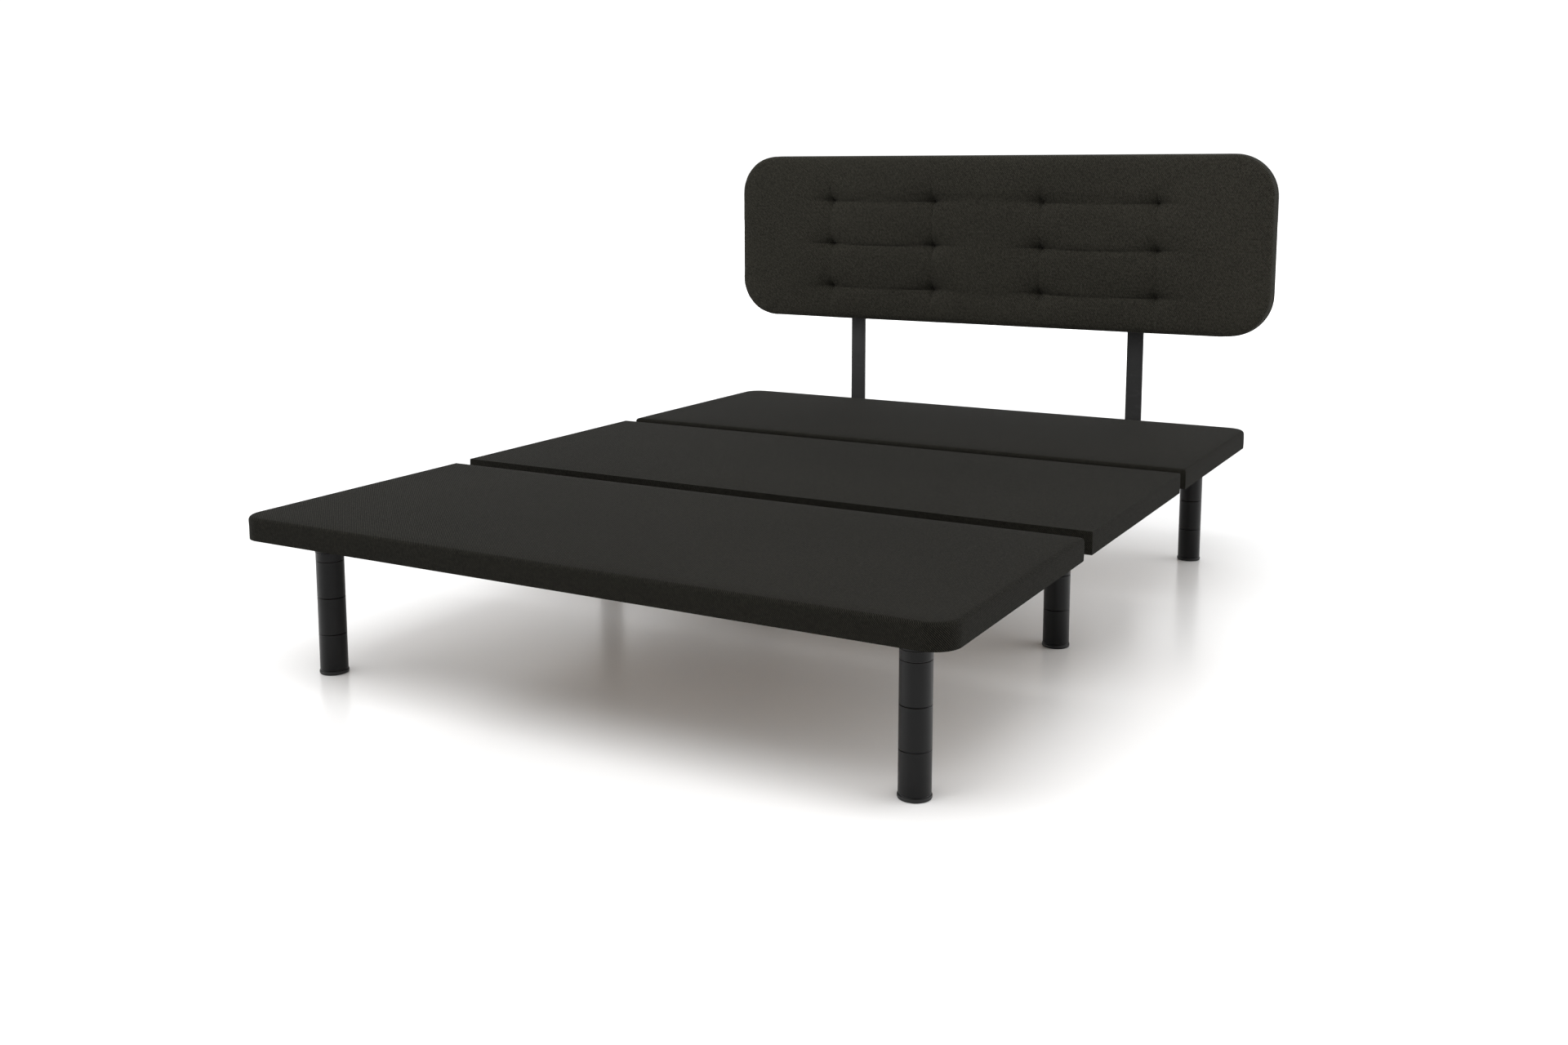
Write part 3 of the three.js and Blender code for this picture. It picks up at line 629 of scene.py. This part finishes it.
# %% Leg sockets
frame_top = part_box("chassis_crossbar_head")[1].z
FRAME_TUBE = 30 * MM


def ring_of_weld(bm, radius, height, where, bead=1.6 * MM):
    """A bead lies round the corner as a ring with a round section."""
    section = [(radius + bead * math.cos(math.radians(turn)), height + bead * math.sin(math.radians(turn)))
               for turn in range(0, 361, 45)]
    turn_profile(bm, section, where, steps=64)


def turn_socket(leg):
    centre, _, leg_top = leg_centre(f"{leg}_upper")
    where = standing((centre.x, centre.y, 0))
    low, joint, high = leg_top + AIR, frame_top - FRAME_TUBE, frame_top - 0.1 * MM
    radius = leg_radius + 0.1 * MM
    bm = bmesh.new()
    turn_profile(bm, [
        (0, low), (radius - LEG_CHAMFER, low), (radius, low + LEG_CHAMFER),
        (radius, high - 1.5 * MM), (radius - 1.5 * MM, high), (0, high),
    ], where)
    ring_of_weld(bm, radius, joint, where, 0.9 * MM)
    return make_piece(f"{leg}_socket_sleeve", bm, "chassis", "leg_paint")


for leg in leg_names:
    turn_socket(leg)
print("socket sleeves", len(leg_names))

# %% [markdown]
# ## Small hardware
#
# Open tube ends are closed with plastic plugs: a flat head with rounded edges, and a shorter body that
# is pushed into the tube. Bolts are hexagons with a chamfered top on a turned washer. They look
# the same wherever they are, so both come from one function that is told where to stand.

# %% Plugs and bolts
def add_plug(bm, end, direction, side, wall=2 * MM):
    """A plug in a square tube whose end is centred on a point and faces a direction."""
    where = standing(end, direction)
    older = set(bm.verts)
    half, body = side / 2, side / 2 - wall - 0.2 * MM
    add_block(bm, (-half, -half, 0.1 * MM), (half, half, 3.0 * MM), 1.1 * MM, 3)
    add_block(bm, (-body, -body, -11 * MM), (body, body, 0.5 * MM), 0.8 * MM)
    bmesh.ops.transform(bm, matrix=where, verts=[v for v in bm.verts if v not in older])


def add_bolt(bm, foot, direction, across=10 * MM, height=5 * MM):
    """A washer and a hexagon head that stand on a face at a point."""
    where = standing(foot, direction)
    washer, sheet = across * 0.95, 1.4 * MM
    turn_profile(bm, [
        (0, -0.1 * MM), (washer, -0.1 * MM), (washer, sheet - 0.3 * MM), (washer - 0.3 * MM, sheet),
        (0, sheet),
    ], where, steps=32)
    older = set(bm.verts)
    base = bmesh.ops.create_circle(bm, cap_ends=True, segments=6, radius=across / math.sqrt(3))["verts"]
    head = list(base[0].link_faces)
    raised = bmesh.ops.extrude_face_region(bm, geom=head)["geom"]
    top = [g for g in raised if isinstance(g, bmesh.types.BMVert)]
    bmesh.ops.translate(bm, vec=(0, 0, height), verts=top)
    rim = [e for e in bm.edges if e.verts[0] in top and e.verts[1] in top]
    round_edges(bm, rim, 0.8 * MM)
    lift = Matrix.Translation((0, 0, sheet - 0.1 * MM))
    bmesh.ops.transform(bm, matrix=where @ lift, verts=[v for v in bm.verts if v not in older])


def add_screw(bm, spot, head, rise=1.8 * MM):
    """A pan head with a round drive recess, pointing down."""
    radius = head / 2
    turn_profile(bm, [
        (0, rise - 1 * MM), (1.4 * MM, rise - 1 * MM), (1.6 * MM, rise), (radius - 0.5 * MM, rise),
        (radius, rise - 0.8 * MM), (radius, -0.1 * MM), (0, -0.1 * MM),
    ], standing(spot, (0, 0, -1)), steps=24)


def plug_crossbar(end):
    node = f"chassis_crossbar_{end}"
    low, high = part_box(node)
    middle_y, middle_z = (low.y + high.y) / 2, high.z - FRAME_TUBE / 2
    bm = bmesh.new()
    for mouth_x, outwards in ((low.x, -1), (high.x, 1)):
        add_plug(bm, Vector((mouth_x, middle_y, middle_z)), Vector((outwards, 0, 0)), FRAME_TUBE)
    return make_piece(f"{node}_end_plugs", bm, "chassis", "glide_plastic")


for end in ("head", "foot"):
    plug_crossbar(end)
print("plugs in", 2, "crossbars")

# %% [markdown]
# The two lifting frames are made of thinner tube. Their side arms end open at the far bar, and each is
# bolted up into the board. The plugs and bolts ride on the section that they belong to, so they rise
# with it.

# %% Lifting frame hardware
SECTION_TUBE = 25 * MM
tube_bottom, tube_top = (corner.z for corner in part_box("head_far_bar"))


def fit_section_hardware(end, direction):
    bm_plugs, bm_bolts = bmesh.new(), bmesh.new()
    for side in ("left", "right"):
        low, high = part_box(f"{end}_arm_{side}")
        middle_x, middle_z = (low.x + high.x) / 2, (tube_bottom + tube_top) / 2
        far_y = high.y if direction > 0 else low.y
        add_plug(bm_plugs, Vector((middle_x, far_y, middle_z)), (0, direction, 0), SECTION_TUBE)
        for share in (0.22, 0.5, 0.78):
            spot = Vector((middle_x, low.y + (high.y - low.y) * share, tube_bottom))
            add_bolt(bm_bolts, spot, (0, 0, -1), 8 * MM, 3.5 * MM)
    for share in (-0.6, 0.0, 0.6):
        low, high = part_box(f"{end}_far_bar")
        spot = Vector((high.x * share, (low.y + high.y) / 2, tube_bottom))
        add_bolt(bm_bolts, spot, (0, 0, -1), 8 * MM, 3.5 * MM)
    body = f"{end}_section"
    make_piece(f"{end}_arm_plugs", bm_plugs, body, "glide_plastic")
    make_piece(f"{end}_board_bolts", bm_bolts, body, "bright_steel")


fit_section_hardware("head", 1)
fit_section_hardware("foot", -1)
print("section plugs and bolts fitted")

# %% [markdown]
# The hinge shafts are round bars held by washers and spring rings. A spring ring is a thin disc in a
# groove, so two turned discs outside each pair of ears are enough to read as one.

# %% Hinge and lever hardware
def add_retainer(bm, place, direction, radius):
    """A washer and a spring ring round a shaft, standing outside an ear."""
    where = standing(place, direction)
    turn_profile(bm, [
        (radius, 0), (radius * 1.9, 0), (radius * 1.9, 1.3 * MM), (radius * 1.85, 1.6 * MM),
        (radius, 1.6 * MM),
    ], where, steps=48)
    turn_profile(bm, [
        (radius, 1.8 * MM), (radius * 1.4, 1.8 * MM), (radius * 1.45, 2.2 * MM), (radius * 1.4, 2.6 * MM),
        (radius, 2.6 * MM),
    ], where, steps=48)


def fit_hinge_hardware(end):
    low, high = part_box(f"hinge_shaft_{end}")
    middle, radius = (low + high) / 2, (high.z - low.z) / 2
    reach = max(abs(corner.x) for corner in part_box(f"{end}_arm_left")) + 1.0 * MM
    bm = bmesh.new()
    for sign in (-1, 1):
        add_retainer(bm, Vector((sign * reach, middle.y, middle.z)), (sign, 0, 0), radius + 0.05 * MM)
    return make_piece(f"hinge_retainers_{end}", bm, "chassis", "bright_steel")


for end in ("head", "foot"):
    fit_hinge_hardware(end)
print("hinge retainers fitted")

# %% [markdown]
# ## The actuators
#
# Each linear actuator is a nylon gearbox with a motor can on its side, and a steel tube from which the
# rod comes out. The cast shapes come from the CAD; the trim makes them read as a motor. It is
# a ribbed end cap and a band on the can, screws in the corners of the gearbox, and a seal where the
# rod leaves the tube.

# %% Actuator trim
MOTOR_RADIUS, MOTOR_LENGTH = 24 * MM, 110 * MM
GEARBOX_SIZE = Vector((44, 62, 40)) * MM


def fit_actuator_trim(end):
    low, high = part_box(f"{end}_motor")
    tube_low, tube_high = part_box(f"{end}_actuator_tube")
    way = 1 if end == "head" else -1                # the rod points along Y and the motor along X
    outer, tube_mouth = (high, tube_high.y) if way > 0 else (low, tube_low.y)
    tube_x, tube_z = (tube_low.x + tube_high.x) / 2, (tube_low.z + tube_high.z) / 2
    gearbox_y = outer.y - way * GEARBOX_SIZE.y / 2
    bm = bmesh.new()
    cap = standing((outer.x, gearbox_y, tube_z), (way, 0, 0))
    rim = MOTOR_RADIUS + 0.8 * MM
    turn_profile(bm, [
        (rim - 1 * MM, -14 * MM), (rim, -13 * MM), (rim, -1 * MM), (rim - 2 * MM, 1.5 * MM),
        (10 * MM, 2.4 * MM), (9 * MM, 1.2 * MM), (0, 1.2 * MM),
    ], cap, steps=72)
    for place in (-34 * MM, -44 * MM, -54 * MM):
        ring_of_weld(bm, MOTOR_RADIUS, place, cap, 1.0 * MM)
    collar = standing((outer.x - way * MOTOR_LENGTH, gearbox_y, tube_z), (way, 0, 0))
    turn_profile(bm, [
        (MOTOR_RADIUS - 1 * MM, 0), (rim + 1.2 * MM, 0), (rim + 1.2 * MM, 7 * MM), (rim, 8.5 * MM),
        (MOTOR_RADIUS - 1 * MM, 8.5 * MM),
    ], collar, steps=72)
    make_piece(f"{end}_motor_trim", bm, "chassis", "motor_plastic")
    bm = bmesh.new()
    for side in (-1, 1):
        for step in (-1, 1):
            spot = (tube_x + side * 16 * MM, gearbox_y + step * 25 * MM, tube_z - GEARBOX_SIZE.z / 2)
            add_screw(bm, spot, 7 * MM)
    make_piece(f"{end}_motor_screws", bm, "chassis", "bright_steel")
    bm = bmesh.new()
    rod_low, rod_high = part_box(f"{end}_rod")
    rod_radius = (rod_high.x - rod_low.x) / 2
    turn_profile(bm, [
        (rod_radius + 0.5 * MM, -3 * MM), (rod_radius + 0.5 * MM, 3.5 * MM), (rod_radius + 3 * MM, 3.5 * MM),
        (18.6 * MM, 2.4 * MM), (18.8 * MM, 1.6 * MM), (18.8 * MM, -11 * MM), (18.1 * MM, -12 * MM),
    ], standing((tube_x, tube_mouth, tube_z), (0, way, 0)), steps=72)
    make_piece(f"{end}_rod_seal", bm, "chassis", "glide_plastic")


for end in ("head", "foot"):
    fit_actuator_trim(end)
print("actuator trim fitted")

# %% [markdown]
# ## The control box
#
# The power and control box hangs under the seat by two mounting ears. Its lid is held by four screws,
# ribs run along its underside, and the mains inlet in its end has three flat pins. The ribs are raised
# a little on the plain CAD box, which gives the moulded look without changing the box.

# %% Control box trim
def fit_control_box():
    low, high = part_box("control_box")
    middle = (low + high) / 2
    bm = bmesh.new()
    bottom = low.z
    for index in range(-3, 4):
        x = middle.x + index * 14 * MM
        add_block(bm, (x - 2.5 * MM, low.y + 22 * MM, bottom - 1.6 * MM),
                  (x + 2.5 * MM, high.y - 22 * MM, bottom + 0.2 * MM), 0.7 * MM)
    seam = 0.7 * MM
    add_block(bm, (low.x - seam, low.y - seam, middle.z + 4 * MM),
              (high.x - 1.2 * MM, high.y + seam, middle.z + 6.5 * MM), 0.4 * MM)
    for near, far in ((low.y - 13 * MM, low.y), (high.y, high.y + 13 * MM)):
        add_block(bm, (middle.x - 14 * MM, near, high.z - 4 * MM),
                  (middle.x + 14 * MM, far, high.z - 0.4 * MM), 1.2 * MM)
    make_piece("control_box_ribs", bm, "chassis", "box_plastic")
    bm = bmesh.new()
    for x in (low.x + 9 * MM, high.x - 9 * MM):
        for y in (low.y + 9 * MM, high.y - 9 * MM):
            add_screw(bm, (x, y, bottom), 7.4 * MM)
    for y, z in ((0, 4.5 * MM), (-6 * MM, -3 * MM), (6 * MM, -3 * MM)):
        pin = Vector((high.x - 14.2 * MM, middle.y + y, middle.z + z))
        add_block(bm, pin - Vector((0, 1.8 * MM, 0.8 * MM)), pin + Vector((10 * MM, 1.8 * MM, 0.8 * MM)),
                  0.4 * MM)
    make_piece("control_box_screws_and_pins", bm, "chassis", "bright_steel")


fit_control_box()
print("control box trim fitted")

# %% [markdown]
# ## Headboard bolts
#
# Each headboard post is bolted to the back of the headboard at two heights and to the frame by its foot.

# %% Headboard bolts
def fit_headboard_bolts(side):
    low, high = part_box(f"headboard_post_{side}")
    middle_x = (low.x + high.x) / 2
    panel_low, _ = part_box("headboard_board")
    bm = bmesh.new()
    for share in (0.15, 0.5, 0.85):
        height = panel_low.z + (high.z - panel_low.z) * share
        add_bolt(bm, Vector((middle_x, high.y, height)), (0, 1, 0), 13 * MM, 6 * MM)
    for shift in (-11 * MM, 11 * MM):
        add_bolt(bm, Vector((middle_x + shift, low.y + 24 * MM, low.z)), (0, 0, -1), 10 * MM, 5 * MM)
    return make_piece(f"headboard_bolts_{side}", bm, "chassis", "bright_steel")


for side in ("left", "right"):
    fit_headboard_bolts(side)
print("headboard bolts fitted")

# %% [markdown]
# ## The deck covers
#
# Each section wears a fitted cover: a padded top over foam, a band of the same twill round the side, and
# a hem turned under. It is pulled tight, so a simulation would add nothing that shows; what makes it
# cloth and not a block is the softened edge, the slight crown of the foam, a trace of unevenness, and
# a weave that runs round the band as one strip. So the shape is a block with bevelled corners, cut
# into a fine grid and gently swollen, and its UV map is laid out in metres of cloth.

# %% Cover shape
COVER_SKIRT = 6 * MM                # how wide the hem under the edge is
COVER_SKIN = 12 * MM                # foam and cloth over the board
CROWN, BAND_SWELL, UNEVENNESS = 2.4 * MM, 0.7 * MM, 0.5 * MM
EDGE_ROUND = 8 * MM
FAR_CORNER = 50 * MM
CUT_SPACING, BAND_SPACING = 42 * MM, 13 * MM


def plan_distance(x, y, half_width, half_length, radius):
    """How far round the band a point is, from the near right corner, anticlockwise seen from above."""
    inner_x, inner_y = half_width - radius, half_length - radius
    side = half_length + inner_y
    arc = math.pi / 2 * radius
    if y > inner_y and x > inner_x:
        return side + radius * math.atan2(max(y - inner_y, 0), max(x - inner_x, 1e-9))
    if y > inner_y and x < -inner_x:
        turn = math.atan2(max(-x - inner_x, 0), max(y - inner_y, 1e-9))
        return side + arc + 2 * inner_x + radius * turn
    distances = {"right": half_width - x, "left": x + half_width, "far": half_length - y,
                 "near": y + half_length}
    nearest = min(distances, key=distances.get)
    if nearest == "right":
        return y + half_length
    if nearest == "far":
        return side + arc + (inner_x - x)
    if nearest == "left":
        return side + 2 * arc + 2 * inner_x + (inner_y - y)
    return 2 * side + 2 * arc + 2 * inner_x + (x + half_width)


def slice_evenly(bm, axis, low, high, spacing):
    """Cuts the whole mesh with evenly spaced planes across one axis."""
    count = max(1, round((high - low) / spacing))
    for index in range(1, count):
        place = Vector((0, 0, 0))
        place[axis] = low + (high - low) * index / count
        normal = Vector((0, 0, 0))
        normal[axis] = 1
        bmesh.ops.bisect_plane(bm, geom=bm.verts[:] + bm.edges[:] + bm.faces[:], plane_co=place,
                               plane_no=normal, dist=1e-6)


def shape_cover(width, length, low, high, radius):
    half_width, half_length = width / 2, length / 2
    bm = bmesh.new()
    add_block(bm, (-half_width, -half_length, low), (half_width, half_length, high))
    if radius:
        corners = [e for e in bm.edges if all(v.co.y > 0 for v in e.verts)
                   and abs(e.verts[0].co.z - e.verts[1].co.z) > 0.01]
        round_edges(bm, corners, radius, 14)
    base = min(bm.faces, key=lambda f: f.calc_center_median().z)
    bmesh.ops.inset_region(bm, faces=[base], thickness=COVER_SKIRT, use_even_offset=True)
    raised = bmesh.ops.extrude_face_region(bm, geom=[base])
    lifted = [g for g in raised["geom"] if isinstance(g, bmesh.types.BMVert)]
    bmesh.ops.translate(bm, vec=(0, 0, high - low - COVER_SKIN), verts=lifted)
    bmesh.ops.delete(bm, geom=[base], context="FACES_ONLY")
    bm.normal_update()
    if radius:                          # a cover with square corners keeps a square top edge as well
        rim = [e for e in bm.edges if all(abs(v.co.z - high) < 1e-5 for v in e.verts)]
        round_edges(bm, rim, EDGE_ROUND, 6)
    slice_evenly(bm, 0, -half_width, half_width, CUT_SPACING)
    slice_evenly(bm, 1, -half_length, half_length, CUT_SPACING)
    slice_evenly(bm, 2, low, high - EDGE_ROUND, BAND_SPACING)
    return bm


def swell_cover(bm, width, length, low, high, seed):
    """Crowns the foam a little and makes the cloth faintly uneven."""
    bm.normal_update()
    skirt_top = high - COVER_SKIN - 1 * MM
    for vert in bm.verts:
        x, y, z = vert.co
        reach = max(abs(x) / (width / 2), abs(y) / (length / 2))
        if reach < 1 - 5.5 * MM / (length / 2) and z < skirt_top:
            continue                    # the inner side of the skirt stays flat
        crown = (1 - (2 * x / width) ** 6) * (1 - (2 * y / length) ** 4)
        band = math.sin(math.pi * min(max((z - low) / (high - low), 0), 1))
        swell = CROWN * crown * max(vert.normal.z, 0) + BAND_SWELL * band * (1 - abs(vert.normal.z))
        ripple = noise.noise(Vector((x * 7, y * 7, z * 14 + seed))) * UNEVENNESS
        vert.co += vert.normal * (swell + ripple * (0.3 + 0.7 * band))


def lay_cloth(bm, width, length, radius):
    """Writes the UV map: the top lies flat, and the band runs round as one strip."""
    layer = bm.loops.layers.uv.new("cloth")
    perimeter = plan_distance(width / 2 - 1e-6, -length / 2, width / 2, length / 2, radius)
    for face in bm.faces:
        on_band = abs(face.normal.z) < 0.62
        spots = [plan_distance(l.vert.co.x, l.vert.co.y, width / 2, length / 2, radius) for l in face.loops]
        if max(spots) - min(spots) > perimeter / 2:
            spots = [s + perimeter if s < perimeter / 2 else s for s in spots]
        for loop, spot in zip(face.loops, spots):
            co = loop.vert.co
            loop[layer].uv = (spot, co.z) if on_band else (co.x, co.y)


def make_cover(end, body, low, high, radius, turned, seed):
    width, length = high.x - low.x, high.y - low.y
    bm = shape_cover(width, length, low.z, high.z, radius)
    swell_cover(bm, width, length, low.z, high.z, seed)
    bm.normal_update()
    lay_cloth(bm, width, length, radius)
    place = Matrix.Translation(((low.x + high.x) / 2, (low.y + high.y) / 2, 0))
    if turned:
        place = place @ Matrix.Rotation(math.pi, 4, "Z")
    bmesh.ops.transform(bm, matrix=place, verts=bm.verts)
    cover = make_piece(f"{end}_upholstery", bm, body, "deck_twill", [f"{end}_cover"])
    return cover


covers = [
    make_cover("head", "head_section", head_low, head_high, FAR_CORNER, False, 3),
    make_cover("seat", "chassis", seat_low, seat_high, 0, False, 11),
    make_cover("foot", "foot_section", foot_low, foot_high, FAR_CORNER, True, 23),
]
print("covers", {c.name: len(c.data.polygons) for c in covers})

# %% [markdown]
# ## The headboard
#
# The headboard is a padded panel, pulled in by rows of hidden stitches. Between the two stitches of a
# pair the cloth folds into a crease that runs on a little past each stitch and dies away, and short
# pulls run up and down. Cloth simulation gives the padding its swell. The panel starts as a thin
# shell, open at the back and cut into an even grid. Its back rim and the stitches are held still,
# and a little air pressure blows out the rest.

# %% Headboard shell
HEADBOARD_CORNER = 115 * MM
HEADBOARD_EDGE = 13 * MM
TUFT_COLUMNS = [-495 * MM, -165 * MM, 165 * MM, 495 * MM]
TUFT_PAIRS = [TUFT_COLUMNS[:2], TUFT_COLUMNS[2:]]
TUFT_ROWS = [cushion_high.z - drop for drop in (135 * MM, 264 * MM, 393 * MM)]
PAD_START = 3 * MM                  # the shell starts this much smaller, because it swells
PAD_CAP = 5 * MM                    # the foam holds the cloth back, so no point moves further
PAD_SPACING = 7.5 * MM


def headboard_shell():
    low = cushion_low + Vector((PAD_START / 2, PAD_START, PAD_START / 2))
    high = cushion_high - Vector((PAD_START / 2, 0, PAD_START / 2))
    bm = bmesh.new()
    add_block(bm, low, high)
    corners = [e for e in bm.edges if abs(e.verts[0].co.y - e.verts[1].co.y) > 0.01]
    round_edges(bm, corners, HEADBOARD_CORNER, 16)
    front = [e for e in bm.edges if all(abs(v.co.y - low.y) < 1e-5 for v in e.verts)]
    round_edges(bm, front, HEADBOARD_EDGE, 5)
    back = [f for f in bm.faces if all(abs(v.co.y - high.y) < 1e-5 for v in f.verts)]
    bmesh.ops.delete(bm, geom=back, context="FACES_ONLY")
    slice_evenly(bm, 0, low.x, high.x, PAD_SPACING)
    slice_evenly(bm, 2, low.z, high.z, PAD_SPACING)
    slice_evenly(bm, 1, low.y + HEADBOARD_EDGE, high.y, 10 * MM)
    bmesh.ops.remove_doubles(bm, verts=bm.verts, dist=0.6 * MM)
    return bm


def to_nearest_tuft(x, z):
    return min(math.hypot((x - tuft) / 1.5, z - row) for tuft in TUFT_COLUMNS for row in TUFT_ROWS)


print("tufts", len(TUFT_ROWS) * len(TUFT_COLUMNS))


# %% Headboard swelling
STITCH_DEPTH, STITCH_SPREAD = 11 * MM, 17 * MM
PAD_FRAMES = 20
PAD_CLOTH = {"quality": 4, "mass": 0.4, "tension_stiffness": 25, "compression_stiffness": 25,
             "bending_stiffness": 2, "use_pressure": True, "uniform_pressure_force": 1.5,
             "vertex_group_mass": "held"}


def evaluated_mesh(piece):
    """Puts the mesh that the modifiers make in place of the piece's own, and clears them."""
    graph = bpy.context.evaluated_depsgraph_get()
    mesh = bpy.data.meshes.new_from_object(piece.evaluated_get(graph))
    piece.modifiers.clear()
    old, piece.data = piece.data, mesh
    bpy.data.meshes.remove(old)
    return mesh


def hold_still(piece):
    """Draws the stitches in, and holds them and the back rim."""
    held = piece.vertex_groups.new(name="held")
    for vert in piece.data.vertices:
        x, y, z = vert.co
        gap = to_nearest_tuft(x, z)
        on_front = y < cushion_low.y + PAD_START + 1 * MM
        if on_front:
            vert.co.y += STITCH_DEPTH * math.exp(-gap / STITCH_SPREAD)
        if y > cushion_high.y - 6 * MM or (on_front and gap < 8 * MM):
            held.add([vert.index], 1.0, "REPLACE")


def blow_up(piece):
    before = [v.co.copy() for v in piece.data.vertices]
    cloth = piece.modifiers.new("cloth", "CLOTH")
    for name, value in PAD_CLOTH.items():
        setattr(cloth.settings, name, value)
    cloth.settings.effector_weights.gravity = 0
    cloth.collision_settings.use_collision = False
    for step in range(1, PAD_FRAMES + 1):
        scene.frame_set(step)
    mesh = evaluated_mesh(piece)
    scene.frame_set(1)
    moves = [vert.co - old for vert, old in zip(mesh.vertices, before)]
    for vert, old, move in zip(mesh.vertices, before, moves):
        vert.co = old + move / (1 + move.length / PAD_CAP)
    print("headboard cloth moved by up to", round(max(m.length for m in moves) * 1000, 1), "mm")


# %% [markdown]
# Folds sharper than the grid are pressed in after the simulation, once the mesh has been subdivided.
# Each is a valley with a sharp bottom, so its depth falls off with the plain distance, not with its
# square. A stitch is a funnel, a crease is a long valley, and a pull is a short upright one.

# %% Headboard creases
CREASE_END = 125 * MM               # how far past its stitch a crease dies away
ROW_REACH = 110 * MM                # how far above and below itself a row of stitches has any effect
PLAIN_EDGE = 40 * MM                # the creases fade out this near the edge


def valley(distance, width):
    return math.exp(-abs(distance) / width)


def crease_depth(x, z):
    depth = 0
    for row in TUFT_ROWS:
        if abs(z - row) > ROW_REACH:
            continue
        for first, last in TUFT_PAIRS:
            beyond = max(first - x, x - last, 0)
            along = min(max((x - first) / (last - first), 0), 1)
            sag = 4 * MM * math.sin(math.pi * along)
            fade = max(0, 1 - beyond / CREASE_END) ** 1.5 * (1 - 0.3 * math.sin(math.pi * along))
            off = z - row + sag
            depth += fade * (5.0 * MM * valley(off, 5 * MM) + 3.6 * MM * valley(off, 22 * MM))
        for tuft in TUFT_COLUMNS:
            side, up = x - tuft, z - row
            depth += STITCH_DEPTH * valley(math.hypot(side / 2.2, up), 11 * MM)
            depth += 6.0 * MM * valley(side, 6 * MM) * valley(up, 36 * MM)
            depth += 2.0 * MM * valley(side, 16 * MM) * valley(up, 50 * MM)
    return depth


def press_creases(mesh):
    for vert in mesh.vertices:
        if vert.co.y < cushion_low.y + 20 * MM:
            edge = min(cushion_high.x - abs(vert.co.x), vert.co.z - cushion_low.z, cushion_high.z - vert.co.z)
            vert.co.y += crease_depth(vert.co.x, vert.co.z) * min(1, max(0, edge / PLAIN_EDGE))


def close_back(mesh):
    """Fills the open back with one face."""
    bm = bmesh.new()
    bm.from_mesh(mesh)
    rim = [e for e in bm.edges if e.is_boundary]
    bmesh.ops.holes_fill(bm, edges=rim, sides=0)
    bmesh.ops.recalc_face_normals(bm, faces=bm.faces)
    shade_smoothly(bm)
    bm.to_mesh(mesh)
    bm.free()


def make_headboard_pad():
    pad = make_piece("headboard_padding", headboard_shell(), "chassis", "headboard_twill",
                     ["headboard_cushion"])
    hold_still(pad)
    blow_up(pad)
    finer = pad.modifiers.new("finer", "SUBSURF")
    finer.levels = finer.render_levels = 1
    press_creases(evaluated_mesh(pad))
    close_back(pad.data)
    return pad


headboard_pad = make_headboard_pad()
print("headboard padding", len(headboard_pad.data.polygons), "faces")

# %% [markdown]
# ## The headboard's back
#
# Behind the padding is the board it is built on. The face cloth is folded round its edge and stapled, and
# a thin panel of the same cloth covers the middle, up to the staples. The CAD board is replaced by a
# wrapped one with a rounded edge.

# %% Headboard back
STAPLES_IN, STAPLE_SPACING, DUST_CLOTH_IN = 20 * MM, 34 * MM, 28 * MM


def headboard_panel(bm, low, high, corner, rounding):
    add_block(bm, low, high)
    corners = [e for e in bm.edges if abs(e.verts[0].co.y - e.verts[1].co.y) > (high.y - low.y) / 2]
    round_edges(bm, corners, corner, 20)
    back = [e for e in bm.edges if all(abs(v.co.y - high.y) < 1e-6 for v in e.verts)]
    round_edges(bm, back, rounding, 4)


def make_headboard_back():
    low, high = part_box("headboard_board")
    bm = bmesh.new()
    headboard_panel(bm, low, high, HEADBOARD_CORNER - 10 * MM, 4 * MM)
    make_piece("headboard_wrapped_board", bm, "chassis", "headboard_twill", ["headboard_board"])
    inset = Vector((DUST_CLOTH_IN, 0, DUST_CLOTH_IN))
    cloth_low = Vector((low.x, high.y - 0.3 * MM, low.z)) + inset
    cloth_high = Vector((high.x, high.y + 0.25 * MM, high.z)) - inset
    bm = bmesh.new()
    headboard_panel(bm, cloth_low, cloth_high, HEADBOARD_CORNER - 10 * MM - DUST_CLOTH_IN, 0.2 * MM)
    make_piece("headboard_dust_cloth", bm, "chassis", "headboard_twill")


def make_headboard_staples():
    low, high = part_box("headboard_board")
    bm = bmesh.new()
    heights = (low.z + STAPLES_IN, high.z - STAPLES_IN)
    spots = [(low.x + HEADBOARD_CORNER + i * STAPLE_SPACING, z) for i in range(40) for z in heights]
    for x, z in spots:
        add_block(bm, (x - 5 * MM, high.y, z - 0.5 * MM), (x + 5 * MM, high.y + 0.7 * MM, z + 0.5 * MM))
    return make_piece("headboard_staples", bm, "chassis", "bright_steel")


make_headboard_back()
make_headboard_staples()
print("headboard back made")
